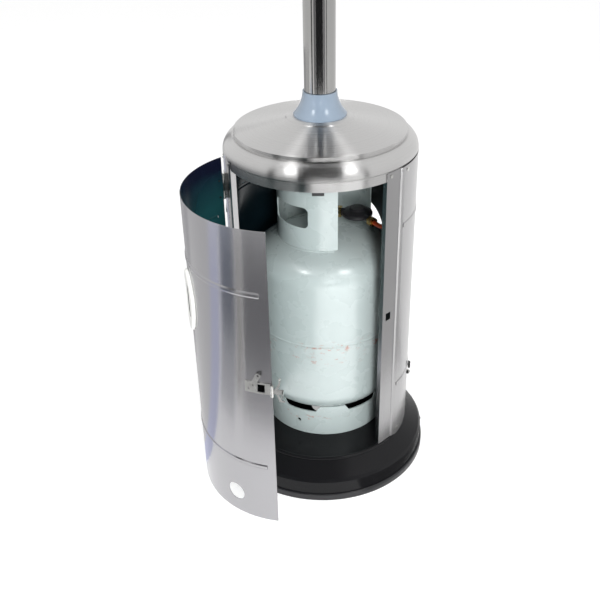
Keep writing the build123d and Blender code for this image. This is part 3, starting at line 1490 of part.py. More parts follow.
# Reflector: a broad spun dish with a flat crown and a turned-down lip
DISH_TOP = CAP_TOP + POST_LENGTH + DISH_SHEET
dish_edge = DISH_TOP - DISH_DROP
with BuildPart() as reflector:
    with BuildSketch(Plane.XZ):
        with BuildLine():
            Polyline(
                (0, DISH_TOP),
                (DISH_CROWN_R, DISH_TOP),
                (DISH_CROWN_R + DISH_CROWN_TURN, DISH_TOP - DISH_STEP),
                ((DISH_CROWN_R + DISH_R) / 2, DISH_TOP - DISH_DROP * DISH_SAG),
                (DISH_R - DISH_EDGE_ROLL[0], dish_edge + DISH_EDGE_ROLL[1]),
                (DISH_R, dish_edge),
                (DISH_R, dish_edge - DISH_LIP),
            )
            offset(amount=DISH_SHEET, side=Side.RIGHT, kind=Kind.INTERSECTION)
        make_face()
    revolve(axis=Axis.Z)
    drill([place.offset(POST_LENGTH) for place in post_places], POST_THREAD_R + FIT, CUT)
keep(reflector, "reflector")

# Wing nuts that clamp the reflector on its posts
with BuildPart() as wing_nuts:
    for place in post_places:
        seat = place.offset(POST_LENGTH + DISH_SHEET)
        with BuildSketch(seat) as boss:
            Circle(WING_BOSS_R)
        extrude(boss.sketch, amount=WING_BOSS)
        with BuildSketch(seat.offset(WING_LIFT)) as wings:
            Rectangle(WING_SPAN, WING_SHEET)
        extrude(wings.sketch, amount=WING_HEIGHT)
        with BuildSketch(seat) as bore:
            Circle(POST_THREAD_R + RUNNING)
        extrude(bore.sketch, amount=WING_LIFT + WING_HEIGHT, mode=Mode.SUBTRACT)
keep(wing_nuts, "wing_nuts")

# Wheel bracket: a curved plate on the foot's rear wall with two ears for the axle
BRACKET_HALF_ANGLE = degrees(asin((EAR_X + BRACKET_SHEET) / BRACKET_R))
axle_end = Plane(origin=(0, AXLE_Y, AXLE_Z), x_dir=(0, 1, 0), z_dir=(1, 0, 0))
with BuildPart() as wheel_bracket:
    curved_block(
        BRACKET_R - BRACKET_SHEET,
        BRACKET_R,
        BRACKET_BOTTOM,
        BRACKET_TOP,
        REAR - BRACKET_HALF_ANGLE,
        2 * BRACKET_HALF_ANGLE,
    )
    for side in (-1, 1):
        with BuildSketch(axle_end.offset(side * EAR_X)):
            with BuildLine():
                Polyline(
                    (PAN_R * cos(radians(BRACKET_HALF_ANGLE)) - AXLE_Y, BRACKET_BOTTOM - AXLE_Z),
                    (0, -EAR_RISE),
                    (EAR_CORNER[0], -EAR_RISE + EAR_CORNER[1]),
                    (EAR_RISE, 0),
                    (EAR_CORNER[0], EAR_RISE - EAR_CORNER[1]),
                    (0, EAR_RISE),
                    (PAN_R * cos(radians(BRACKET_HALF_ANGLE)) - AXLE_Y, BRACKET_TOP - AXLE_Z),
                    close=True,
                )
            make_face()
            Circle(AXLE_R + RUNNING, mode=Mode.SUBTRACT)
        extrude(amount=side * BRACKET_SHEET)
    with BuildSketch(Plane.XY):
        Circle(BRACKET_R - BRACKET_SHEET)
    extrude(amount=BRACKET_TOP + BIG_CUT, mode=Mode.SUBTRACT)
    drill(foot_bolt_places, BOLT_HOLE_R, CUT)
keep(wheel_bracket, "wheel_bracket")
keep(
    hex_bolts(foot_bolt_places, BOLT_HEAD_R, BOLT_HEAD, BOLT_R, FOOT_BOLT_LENGTH), "foot_bolts"
)

# Axle, its end caps and the two wheels
AXLE_HALF = WHEEL_X + WHEEL_WIDTH / 2 + WHEEL_SIDE_GAP
with BuildPart() as axle:
    with BuildSketch(axle_end.offset(-AXLE_HALF - CAP_WIDTH + CAP_END)):
        Circle(AXLE_R)
    extrude(amount=2 * (AXLE_HALF + CAP_WIDTH - CAP_END))
keep(axle, "axle")
with BuildPart() as axle_caps:
    for side in (-1, 1):
        with BuildSketch(axle_end.offset(side * AXLE_HALF)):
            Circle(CAP_R)
        extrude(amount=side * CAP_WIDTH)
        with BuildSketch(axle_end.offset(side * AXLE_HALF)):
            Circle(AXLE_R + RUNNING)
        extrude(amount=side * (CAP_WIDTH - CAP_END), mode=Mode.SUBTRACT)
keep(axle_caps, "axle_caps")
for name, side in (("wheel_left", -1), ("wheel_right", 1)):
    with BuildPart() as wheel:
        with BuildSketch(axle_end.offset(side * WHEEL_X)):
            Circle(WHEEL_R)
        extrude(amount=WHEEL_WIDTH / 2, both=True)
        for face in (-1, 1):
            with BuildSketch(axle_end.offset(side * WHEEL_X + face * WHEEL_WIDTH / 2)):
                Circle(WHEEL_R - RIM_WIDTH)
                Circle(AXLE_R + HUB_WALL, mode=Mode.SUBTRACT)
            extrude(amount=-face * (WHEEL_WIDTH / 2 - WHEEL_WEB), mode=Mode.SUBTRACT)
        with BuildSketch(axle_end.offset(side * WHEEL_X)):
            Circle(AXLE_R + RUNNING)
        extrude(amount=WHEEL_WIDTH / 2, both=True, mode=Mode.SUBTRACT)
    keep(wheel, name)
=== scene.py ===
"""Looks of the patio heater: its finishes, gas hose, grip plate and weld bead, and the studio.

Metres, in the model's own frame: the pole's axis on the floor is the origin, +Z is up and
the cupboard's opening faces -Y. Azimuths are in degrees from +X, anticlockwise from above.
"""

import json
from math import copysign, cos, degrees, radians, sin

import bmesh
import bpy
from mathutils import Matrix, Vector


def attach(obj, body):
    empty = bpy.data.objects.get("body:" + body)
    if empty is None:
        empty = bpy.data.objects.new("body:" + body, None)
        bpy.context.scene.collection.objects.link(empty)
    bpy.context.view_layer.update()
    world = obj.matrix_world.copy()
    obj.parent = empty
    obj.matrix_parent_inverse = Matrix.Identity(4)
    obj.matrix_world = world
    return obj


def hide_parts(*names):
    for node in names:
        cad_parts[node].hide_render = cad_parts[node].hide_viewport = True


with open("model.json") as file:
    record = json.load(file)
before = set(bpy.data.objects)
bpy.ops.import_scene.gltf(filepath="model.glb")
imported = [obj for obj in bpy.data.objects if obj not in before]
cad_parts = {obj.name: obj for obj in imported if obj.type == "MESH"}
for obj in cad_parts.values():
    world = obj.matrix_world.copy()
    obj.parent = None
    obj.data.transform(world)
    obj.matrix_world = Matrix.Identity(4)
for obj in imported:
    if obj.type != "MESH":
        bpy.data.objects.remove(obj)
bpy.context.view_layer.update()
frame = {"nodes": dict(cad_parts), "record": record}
NODES = frame["nodes"]
SCENE = bpy.context.scene
POLE_AXIS = (0.0, 0.0)
BOTTLE_AXIS = (0.0, 0.032)
DOOR_AXIS = (-0.01688, -0.19296)
FLOOR_CENTRE = (0.0, 0.0, 0.0)
UPRIGHT = (0.0, 0.0, 1.0)


def polar(radius, azimuth, height=0.0, centre=POLE_AXIS):
    """A point by its radius, azimuth and height about an upright axis."""
    turn = radians(azimuth)
    return Vector((centre[0] + radius * cos(turn), centre[1] + radius * sin(turn), height))


# Camera
PHOTO_TURN = 12.5
CAMERA_AZIMUTH = -90.0 + PHOTO_TURN
CAMERA_BACK = 1.58108
CAMERA_HEIGHT = 1.31089
CAMERA_PITCH = -30.928
CAMERA_YAW = 1.694
CAMERA_ROLL = -1.364
CAMERA_FOCAL = 51.28
CAMERA_REACH = 60.0
SENSOR = 36.0

camera_data = bpy.data.cameras.new("camera")
camera = bpy.data.objects.new("camera", camera_data)
SCENE.collection.objects.link(camera)
SCENE.camera = camera
camera_data.sensor_width = SENSOR
camera_data.sensor_fit = "HORIZONTAL"
camera_data.lens = CAMERA_FOCAL
camera_data.clip_end = CAMERA_REACH
camera.matrix_world = (
    Matrix.Rotation(radians(PHOTO_TURN), 4, "Z")
    @ Matrix.Translation((0.0, -CAMERA_BACK, CAMERA_HEIGHT))
    @ Matrix.Rotation(radians(CAMERA_YAW), 4, "Z")
    @ Matrix.Rotation(radians(90.0 + CAMERA_PITCH), 4, "X")
    @ Matrix.Rotation(radians(CAMERA_ROLL), 4, "Z")
)
SCENE.view_settings.view_transform = "Standard"


class Number:
    """One value in a finish's nodes. Arithmetic on it adds the Math nodes."""

    def __init__(self, finish, socket):
        self.finish = finish
        self.socket = socket

    def __add__(self, other):
        return self.finish.math("ADD", self, other)

    def __sub__(self, other):
        return self.finish.math("SUBTRACT", self, other)

    def __rsub__(self, other):
        return self.finish.math("SUBTRACT", other, self)

    def __mul__(self, other):
        return self.finish.math("MULTIPLY", self, other)

    __radd__ = __add__
    __rmul__ = __mul__


class Finish:
    """A material in the making: its nodes, its shader and the patterns that feed it."""

    INNER_LIMITS = (-0.3, -0.5)
    SPOT_SOFT = 0.4

    def __init__(self, name, colour=None, roughness=None, metallic=0.0, **fixed):
        self.material = bpy.data.materials.new(name)
        self.material.use_nodes = True
        self.tree = self.material.node_tree
        self.shader = self.tree.nodes["Principled BSDF"]
        self.place = None
        self.feed("Base Color", colour)
        self.feed("Roughness", roughness)
        self.feed("Metallic", metallic)
        for socket, value in fixed.items():
            self.feed(socket.replace("_", " ").title().replace("Ior", "IOR"), value)

    def node(self, kind, settings=None, sockets=None, out=0):
        """Adds a node, sets it, then gives its sockets their values or links."""
        made = self.tree.nodes.new("ShaderNode" + kind)
        for name, value in (settings or {}).items():
            setattr(made, name, value)
        for name, value in (sockets or {}).items():
            self.plug(made.inputs[name], value)
        return Number(self, made.outputs[out])

    def outputs(self, kind):
        """All the outputs of a new node, by name."""
        made = self.node(kind).socket.node
        return {output.name: Number(self, output) for output in made.outputs}

    def plug(self, socket, value):
        """Links a value of the nodes to a socket, or sets the socket to a plain one."""
        if isinstance(value, Number):
            self.tree.links.new(value.socket, socket)
        elif socket.type == "RGBA":
            socket.default_value = (*value, 1.0)
        else:
            socket.default_value = value

    def feed(self, socket, value):
        """Feeds one socket of the shader."""
        if value is not None:
            self.plug(self.shader.inputs[socket], value)

    def math(self, operation, *values):
        return self.node("Math", {"operation": operation}, dict(enumerate(values)))

    def vector(self, operation, *values, out=0):
        return self.node("VectorMath", {"operation": operation}, dict(enumerate(values)), out)

    def position(self):
        """Where the surface is, in the model's frame."""
        if self.place is None:
            self.place = self.node("TexCoord", out="Object")
        return self.place

    def axes(self, place=None):
        """The three coordinates of a point as numbers."""
        split = self.node("SeparateXYZ", None, {0: place or self.position()}).socket.node
        return [Number(self, output) for output in split.outputs]

    def pair(self, first, second):
        """Two numbers as a vector."""
        return self.node("CombineXYZ", None, {0: first, 1: second})

    def scaled(self, scale, centre=FLOOR_CENTRE):
        """The surface's place measured from a centre and stretched along each axis."""
        shift = tuple(-c * s for c, s in zip(centre, scale))
        sockets = {"Vector": self.position(), "Scale": scale, "Location": shift}
        return self.node("Mapping", None, sockets)

    def noise(self, scale, place=None, detail=2.0, rough=0.5, warp=0.0):
        """Cloudy noise from 0 to 1."""
        sockets = {"Scale": scale, "Detail": detail, "Roughness": rough, "Distortion": warp}
        sockets["Vector"] = place or self.position()
        return self.node("TexNoise", None, sockets)

    def band(self, value, low, high):
        """0 below low, 1 above high and an even rise between."""
        limits = {0: value, 1: low, 2: high, 3: 0.0, 4: 1.0}
        return self.node("MapRange", {"clamp": True}, limits)

    def spread(self, value, low, high):
        """A value from 0 to 1 spread over other limits."""
        return self.node("MapRange", None, {0: value, 1: 0.0, 2: 1.0, 3: low, 4: high})

    def mix(self, factor, first, second):
        """A colour between two colours."""
        return self.node("Mix", {"data_type": "RGBA"}, {0: factor, 6: first, 7: second}, 2)

    def mottle(self, clouds, first, second):
        """Lets the colour drift between two shades."""
        self.feed("Base Color", self.mix(clouds, first, second))

    def gloss(self, clouds, low, high):
        """Lets the roughness drift between two limits."""
        self.feed("Roughness", self.spread(clouds, low, high))

    def bump(self, height, distance):
        """Raises the surface by a height pattern, in metres."""
        self.feed("Normal", self.node("Bump", None, {"Height": height, "Distance": distance}))

    def outward(self, axis):
        """The level line from an upright axis to the surface."""
        x, y = self.axes()[:2]
        return self.pair(x - axis[0], y - axis[1])

    def length(self, vector):
        return self.vector("LENGTH", vector, out="Value")

    def inner_face(self, axis):
        """1 where the surface looks towards an upright axis, 0 where it looks away."""
        away = self.vector("NORMALIZE", self.outward(axis))
        looks = self.node("TexCoord", out="Normal")
        facing = self.vector("DOT_PRODUCT", away, looks, out="Value")
        return self.band(facing, *self.INNER_LIMITS)

    def spot(self, centre, size):
        """1 near a point and 0 away from it, with a size along each axis."""
        reach = self.length(self.scaled(tuple(1.0 / part for part in size), centre))
        return self.band(reach, 1.0 + self.SPOT_SOFT, 1.0 - self.SPOT_SOFT)


# Bare metals
LEVEL_GRAIN = 0.25
FINE_LINES = {"detail": 3.0, "rough": 0.7}
LINE_RUN = 6.0
CLOUD_SCALE = (9.0, 9.0, 3.0)
LINE_SHARE = 0.4
BRUSHED_SHADE = 0.88
BRUSHED_GLOSS = (-0.05, 0.07)
# Painted light on a sheet's inner face: its clouds, the heights where painted reflection gives
# way to painted shade, and its roughness and how much of the metal it covers
PAINTED_INNER_CLOUDS = {"detail": 3.0, "rough": 0.6, "warp": 0.8}
PAINTED_INNER_CLOUD_SCALE = 9.0
PAINTED_INNER_CLOUD_STRETCH = (1.0, 1.0, 0.6)
REFLECTION_TO_SHADE_HEIGHTS = (0.72, 0.64)
PAINTED_INNER_DRIFT = 0.05
PAINTED_INNER_ROUGHNESS = 0.2
PAINTED_INNER_COVER = 0.88


def shaded(colour, share):
    """A colour darkened to a share of itself."""
    return tuple(part * share for part in colour)


def brushed(name, colour, across, roughness, grain=0.00002, drag=0.7, painted_inner_axis=None, painted_inner=None):
    """Brushed metal whose fine lines run level round the sheet.

    With an upright axis for the inner face, the face towards that axis is painted dark in place
    of the mirror-bright steel, with two colours, the lower and the upper: painted shade, and on
    the door a painted reflection of the bottle in the lower one."""
    made = Finish(name, None, None, 1.0, anisotropic=drag, anisotropic_rotation=LEVEL_GRAIN)
    lines = made.noise(1.0, made.scaled((LINE_RUN, LINE_RUN, across)), **FINE_LINES)
    clouds = made.noise(1.0, made.scaled(CLOUD_SCALE))
    tone = lines * LINE_SHARE + clouds * (1.0 - LINE_SHARE)
    tone = made.mix(tone, shaded(colour, BRUSHED_SHADE), colour)
    low, high = BRUSHED_GLOSS
    gloss = made.spread(lines, roughness + low, roughness + high)
    # The inner face gets painted reflection and painted shade instead of the bare steel
    if painted_inner_axis:
        inner = made.inner_face(painted_inner_axis)
        height = made.axes()[2]
        drift = made.noise(PAINTED_INNER_CLOUD_SCALE, made.scaled(PAINTED_INNER_CLOUD_STRETCH), **PAINTED_INNER_CLOUDS)
        lower, upper = painted_inner
        painted_inner_tone = made.mix(made.band(height + drift * PAINTED_INNER_DRIFT, *REFLECTION_TO_SHADE_HEIGHTS), upper, lower)
        tone = made.mix(inner, tone, painted_inner_tone)
        gloss = gloss * (1.0 - inner) + inner * PAINTED_INNER_ROUGHNESS
        made.feed("Metallic", 1.0 - inner * PAINTED_INNER_COVER)
    made.feed("Base Color", tone)
    made.feed("Roughness", gloss)
    made.bump(lines, grain)
    return made


# Painted colours of the inner faces, lower and upper: on the door a painted reflection of the
# teal bottle below and painted shade above; in the shell painted shade all over
DOOR_PAINTED_REFLECTION_AND_SHADE = (0.015, 0.082, 0.092), (0.006, 0.008, 0.024)
SHELL_PAINTED_SHADE = (0.004, 0.010, 0.014), (0.004, 0.010, 0.014)
door_steel = brushed(
    "door_steel",
    (0.40, 0.396, 0.41),
    across=2600.0,
    roughness=0.2,
    drag=0.6,
    painted_inner_axis=DOOR_AXIS,
    painted_inner=DOOR_PAINTED_REFLECTION_AND_SHADE,
)
shell_steel = brushed(
    "shell_steel",
    (0.42, 0.416, 0.42),
    across=2600.0,
    roughness=0.24,
    grain=0.00001,
    painted_inner_axis=POLE_AXIS,
    painted_inner=SHELL_PAINTED_SHADE,
)
pole_steel = brushed(
    "pole_steel", (0.38, 0.376, 0.37), across=1800.0, roughness=0.08, grain=0.000002, drag=0.0
)
galvanised = brushed("galvanised", (0.40, 0.41, 0.42), across=500.0, roughness=0.45)
scorched = brushed("scorched_steel", (0.33, 0.30, 0.28), across=900.0, roughness=0.42)

RING_SCALE = 2600.0
RING_CLOUD_SCALE = 300.0
RING_SHARE = 0.6
SPUN_SHADE = 0.86
SPUN_GLOSS = (-0.05, 0.08)


def spun(name, colour, roughness, grain, drag):
    """Metal spun on a lathe, with fine rings about the pole."""
    made = Finish(name, None, None, 1.0, anisotropic=drag, anisotropic_rotation=LEVEL_GRAIN)
    reach = made.length(made.outward(POLE_AXIS))
    height = made.axes()[2]
    fine = made.pair(reach * RING_SCALE, height * RING_SCALE)
    rings = made.noise(1.0, fine, **FINE_LINES)
    coarse = made.pair(reach * RING_CLOUD_SCALE, height * RING_CLOUD_SCALE)
    clouds = made.noise(1.0, coarse, rough=0.6)
    low, high = SPUN_GLOSS
    made.gloss(rings, roughness + low, roughness + high)
    tone = rings * RING_SHARE + clouds * (1.0 - RING_SHARE)
    made.mottle(tone, shaded(colour, SPUN_SHADE), colour)
    made.bump(rings, grain)
    return made


stainless_spun = spun(
    "stainless_spun", (0.60, 0.595, 0.59), roughness=0.27, grain=0.00001, drag=1.0
)
dish_metal = spun("aluminium_dish", (0.56, 0.56, 0.57), roughness=0.30, grain=0.00002, drag=0.3)

zinc = Finish("zinc", metallic=1.0)
zinc.gloss(zinc.noise(300.0), 0.12, 0.3)
zinc.mottle(zinc.noise(160.0), (0.50, 0.50, 0.48), (0.68, 0.68, 0.66))

brass = Finish("brass", metallic=1.0)
brass.gloss(brass.noise(400.0), 0.18, 0.34)
brass.mottle(brass.noise(120.0), (0.50, 0.34, 0.13), (0.66, 0.46, 0.19))

# Enamel, plastics and rubbers
enamel = Finish("black_enamel", (0.008, 0.008, 0.009), specular_ior_level=0.18)
enamel.gloss(enamel.noise(40.0), 0.13, 0.2)
enamel.bump(enamel.noise(700.0, detail=1.0), 0.0002)

matte = Finish("black_plastic", (0.016, 0.016, 0.018))
matte.gloss(matte.noise(60.0), 0.3, 0.44)
matte.bump(matte.noise(1500.0), 0.00005)

collar_plastic = Finish("grey_plastic", roughness=0.16, coat_weight=0.2)
collar_clouds = collar_plastic.noise(30.0, detail=3.0)
collar_plastic.mottle(collar_clouds, (0.215, 0.275, 0.345), (0.26, 0.32, 0.40))
collar_plastic.bump(collar_plastic.noise(60.0), 0.0001)

rubber = Finish("dark_rubber", roughness=0.6)
rubber.mottle(rubber.noise(50.0), (0.010, 0.010, 0.010), (0.024, 0.023, 0.022))
rubber.bump(rubber.noise(900.0), 0.0001)

hose_skin = Finish("hose_rubber", roughness=0.38)
hose_skin.mottle(hose_skin.noise(80.0), (0.42, 0.05, 0.01), (0.56, 0.075, 0.015))
hose_skin.bump(hose_skin.noise(700.0), 0.00008)

# White plastic of the door's grip, with painted shade on the walls inside its upright slot
GRIP_AZIMUTH = -150.0
GRIP_HEIGHT = 0.512
SLOT_HALF = 0.026
SLOT_SHADE_EDGE = (0.0108, 0.0102)
SLOT_PAINTED_SHADE = (0.02, 0.02, 0.02)

ceramic = Finish("white_plastic", roughness=0.3)
grip_x, grip_y, grip_z = ceramic.axes()
grip_x, grip_y = grip_x - DOOR_AXIS[0], grip_y - DOOR_AXIS[1]
grip_turn = radians(GRIP_AZIMUTH)
slot_aside = grip_x * -sin(grip_turn) + grip_y * cos(grip_turn)
slot_beyond = ceramic.math("ABSOLUTE", grip_z - GRIP_HEIGHT) - SLOT_HALF
slot_beyond = ceramic.math("MAXIMUM", slot_beyond, 0.0)
# Painted shade: the slot's inner walls are coloured near black, standing in for the dark inside
# seen through the slot
slot_shade_mask = ceramic.band(ceramic.length(ceramic.pair(slot_aside, slot_beyond)), *SLOT_SHADE_EDGE)
whites = ceramic.mix(ceramic.noise(25.0), (0.74, 0.74, 0.71), (0.83, 0.83, 0.81))
ceramic.mottle(slot_shade_mask, whites, SLOT_PAINTED_SHADE)
ceramic.bump(ceramic.noise(400.0), 0.00004)

# Bottle paint, with grey specks all over and rust along its seam and its lower edge
PALE_PAINT = (0.50, 0.575, 0.57)
DULL_PAINT = (0.45, 0.52, 0.515)
SPECK_GREY = (0.30, 0.36, 0.35)
SPECK_SHARE = 0.35
SPECK_EDGE = (0.70, 0.74)
RUST = (0.42, 0.24, 0.20)
SEAM_HEIGHT = 0.302
SEAM_SIZE = (1.0, 1.0, 0.024)
LOW_EDGE_HEIGHT = 0.122
LOW_EDGE_SIZE = (1.0, 1.0, 0.006)
CHIP_SCALE = (75.0, 75.0, 150.0)
CHIP_EDGE = (0.57, 0.63)
PATCH_EDGE = (0.40, 0.50)

paint = Finish("bottle_paint", specular_ior_level=0.7, coat_weight=1.0, coat_roughness=0.16)
paint_tone = paint.mix(paint.noise(7.0, detail=4.0), DULL_PAINT, PALE_PAINT)
specks = paint.band(paint.noise(140.0), *SPECK_EDGE)
paint_tone = paint.mix(specks * SPECK_SHARE, paint_tone, SPECK_GREY)
seam = paint.spot((*BOTTLE_AXIS, SEAM_HEIGHT), SEAM_SIZE)
low_edge = paint.spot((*BOTTLE_AXIS, LOW_EDGE_HEIGHT), LOW_EDGE_SIZE)
chips = paint.noise(1.0, paint.scaled(CHIP_SCALE), detail=4.0, rough=0.65)
chips = paint.band(chips, *CHIP_EDGE)
patches = paint.band(paint.noise(13.0), *PATCH_EDGE)
rusted = paint.math("MAXIMUM", seam, low_edge) * chips * patches
paint.mottle(rusted, paint_tone, RUST)
paint.gloss(paint.noise(22.0, detail=3.0), 0.2, 0.36)
paint.bump(paint.noise(90.0, detail=3.0), 0.0002)

FINISHES = {
    "stainless": shell_steel,
    "stainless_spun": stainless_spun,
    "pole_steel": pole_steel,
    "aluminium_dish": dish_metal,
    "black_enamel": enamel,
    "black_plastic": matte,
    "grey_plastic": collar_plastic,
    "white_plastic": ceramic,
    "bottle_paint": paint,
    "zinc": zinc,
    "galvanised": galvanised,
    "brass": brass,
    "dark_rubber": rubber,
    "hose_rubber": hose_skin,
    "scorched_steel": scorched,
}
NODE_FINISHES = {"door_panel": door_steel}


def coat(thing, finish):
    """Gives a piece or a CAD node one finish all over."""
    thing.data.materials.clear()
    thing.data.materials.append(finish.material)


for row in frame["record"]["subparts"]:
    node = row["node"]
    coat(NODES[node], NODE_FINISHES.get(node, FINISHES[row["material_slot"]]))

# Gas hose: from the regulator, up through the cover's hole into the pole
HOSE_PLANE = -19.9
HOSE_R = 0.0045
HOSE_POINTS = [
    Vector((0.1114, -0.0090, 0.561)),
    Vector((0.1417, -0.0382, 0.561)),
    polar(0.1739, HOSE_PLANE, 0.5914),
    polar(0.1739, HOSE_PLANE, 0.660),
    polar(0.135, HOSE_PLANE, 0.705),
    polar(0.066, HOSE_PLANE, 0.722),
    polar(0.018, HOSE_PLANE, 0.742),
    polar(0.0, HOSE_PLANE, 0.786),
    polar(0.0, HOSE_PLANE, 0.822),
]


def nurbs_tube(name, points, radius):
    """A round smooth tube along a NURBS line through its control points."""
    data = bpy.data.curves.new(name, "CURVE")
    data.dimensions = "3D"
    spline = data.splines.new("NURBS")
    spline.points.add(len(points) - 1)
    for knot, point in zip(spline.points, points):
        knot.co = (*point, 1.0)
    spline.order_u = 3
    spline.use_endpoint_u = True
    spline.resolution_u = 16
    data.bevel_depth = radius
    data.bevel_resolution = 6
    data.use_fill_caps = True
    tube = bpy.data.objects.new(name, data)
    SCENE.collection.objects.link(tube)
    return tube


hose = nurbs_tube("hose", HOSE_POINTS, HOSE_R)
coat(hose, hose_skin)
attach(hose, "stand")
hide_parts("gas_hose")


def place_mesh(name, shape, finish):
    """Makes an object from a finished bmesh, with smooth faces and one finish."""
    for face in shape.faces:
        face.smooth = True
    data = bpy.data.meshes.new(name)
    shape.to_mesh(data)
    shape.free()
    made = bpy.data.objects.new(name, data)
    SCENE.collection.objects.link(made)
    coat(made, finish)
    return made


# Door grip: a crowned oval plate with an upright slot, bent to the door
DOOR_FACE_R = 0.1901
GRIP_HALF = (0.0315, 0.0635)
GRIP_RISE = 0.0057
GRIP_EDGE = 0.0045
GRIP_EDGE_STEPS = 5
SLOT_R = 0.0095
LINER_R = 0.0112
LINER_DEPTH = 0.0040
LINER_LIP = 0.001
OVAL_STEPS = 64
ON_AXIS = 1e-6
STEEP = 0.5


def oval(shape, half_width, half_height, straight=0.0, depth=0.0):
    """A flat upright oval of edges, or a slot when its ends are pulled apart."""
    size = Matrix.Diagonal((half_width, half_height, 1.0, 1.0))
    circle = bmesh.ops.create_circle(shape, segments=OVAL_STEPS, radius=1.0, matrix=size)
    for vert in circle["verts"]:
        if abs(vert.co.y) > ON_AXIS:
            vert.co.y += copysign(straight, vert.co.y)
        vert.co.z = depth
    return {edge for vert in circle["verts"] for edge in vert.link_edges}


def slab(shape, outer, inner, rise):
    """Closes the space between two ovals, raises it and returns the raised corners."""
    flat = bmesh.ops.bridge_loops(shape, edges=list(outer | inner))["faces"]
    raised = bmesh.ops.extrude_face_region(shape, geom=flat)["geom"]
    raised = [part for part in raised if isinstance(part, bmesh.types.BMVert)]
    bmesh.ops.translate(shape, verts=raised, vec=(0.0, 0.0, rise))
    return set(raised)


grip_shape = bmesh.new()
grip_outline = oval(grip_shape, *GRIP_HALF)
grip_rim = slab(grip_shape, grip_outline, oval(grip_shape, SLOT_R, SLOT_R, SLOT_HALF), GRIP_RISE)
grip_corners = [
    edge
    for edge in grip_shape.edges
    if set(edge.verts) <= grip_rim and any(abs(face.normal.z) < STEEP for face in edge.link_faces)
]
bmesh.ops.bevel(
    grip_shape,
    geom=grip_corners,
    offset=GRIP_EDGE,
    affect="EDGES",
    segments=GRIP_EDGE_STEPS,
    profile=0.5,
    material=-1,
)
# A sleeve down the slot; its inner wall takes the slot's painted shade
slab(
    grip_shape,
    oval(grip_shape, LINER_R, LINER_R, SLOT_HALF, -LINER_DEPTH),
    oval(grip_shape, SLOT_R, SLOT_R, SLOT_HALF, -LINER_DEPTH),
    LINER_DEPTH + LINER_LIP,
)
bmesh.ops.recalc_face_normals(grip_shape, faces=grip_shape.faces)
for vert in grip_shape.verts:
    across, height, rise = vert.co
    azimuth = GRIP_AZIMUTH + degrees(across / DOOR_FACE_R)
    vert.co = polar(DOOR_FACE_R + rise, azimuth, GRIP_HEIGHT + height, DOOR_AXIS)
grip = place_mesh("grip_plate", grip_shape, ceramic)
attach(grip, "door")
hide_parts("door_grip")

# Weld bead of the gas bottle, round the guard's foot but not across its mouth
BEAD_R = 0.0022
BEAD_REACH = 0.0978
BEAD_HEIGHT = 0.5138
BEAD_FIRST = 24.0
BEAD_SWEEP = 270.0
BEAD_STEPS = 140
BEAD_SIDES = 12

bead_shape = bmesh.new()
bead_start = (
    Matrix.Translation(polar(BEAD_REACH, BEAD_FIRST, BEAD_HEIGHT, BOTTLE_AXIS))
    @ Matrix.Rotation(radians(BEAD_FIRST), 4, "Z")
    @ Matrix.Rotation(radians(90.0), 4, "X")
)
bead_ring = bmesh.ops.create_circle(
    bead_shape, cap_ends=True, segments=BEAD_SIDES, radius=BEAD_R, matrix=bead_start
)["verts"]
bmesh.ops.spin(
    bead_shape,
    geom=bead_ring + list(bead_shape.edges) + list(bead_shape.faces),
    cent=(*BOTTLE_AXIS, BEAD_HEIGHT),
    axis=UPRIGHT,
    angle=radians(BEAD_SWEEP),
    steps=BEAD_STEPS,
)
bmesh.ops.recalc_face_normals(bead_shape, faces=bead_shape.faces)
bead = place_mesh("guard_weld", bead_shape, paint)
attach(bead, "stand")

# Studio: a pale floor, soft lamps, and cards that only the shiny metal mirrors
FLOOR_HALF = 12.0
FLOOR_COLOUR = (0.8, 0.8, 0.8)
FLOOR_ROUGHNESS = 0.95
FLOOR_LIFT = 0.42
CARD_LIFT = 0.003
CARD_STEPS = 12
CARD_GLOW = 1.0
BLACK = (0.0, 0.0, 0.0)
WHITE = (1.0, 1.0, 1.0)


def pale_floor():
    """The floor, which the camera and the metal see raised to white, shadows kept."""
    made = Finish("floor_white", FLOOR_COLOUR, FLOOR_ROUGHNESS)
    rays = made.outputs("LightPath")
    seen = made.math("MAXIMUM", rays["Is Camera Ray"], rays["Is Glossy Ray"])
    seen = made.math("MAXIMUM", seen, rays["Is Transmission Ray"])
    made.feed("Emission Color", WHITE)
    made.feed("Emission Strength", seen * FLOOR_LIFT)
    shape = bmesh.new()
    bmesh.ops.create_grid(shape, x_segments=1, y_segments=1, size=FLOOR_HALF)
    return place_mesh("floor", shape, made)


pale_floor()


def mirrored_card(name, shape, colour, strength):
    """A stage card of one flat shade that shows only in reflections."""
    made = Finish(name, BLACK, 1.0, specular_ior_level=0.0)
    made.feed("Emission Color", colour)
    made.feed("Emission Strength", strength)
    card = place_mesh(name, shape, made)
    card.visible_camera = False
    card.visible_diffuse = False
    card.visible_shadow = False
    card.visible_transmission = False
    card.visible_volume_scatter = False


def swept_card(name, ends, first, last, colour):
    """A card swept round the pole's axis from a straight line between two ends."""
    shape = bmesh.new()
    corners = [shape.verts.new(polar(reach, first, height)) for reach, height in ends]
    edge = shape.edges.new(corners)
    bmesh.ops.spin(
        shape,
        geom=[*corners, edge],
        cent=FLOOR_CENTRE,
        axis=UPRIGHT,
        angle=radians(last - first),
        steps=CARD_STEPS,
    )
    bmesh.ops.recalc_face_normals(shape, faces=shape.faces)
    mirrored_card(name, shape, colour, CARD_GLOW)


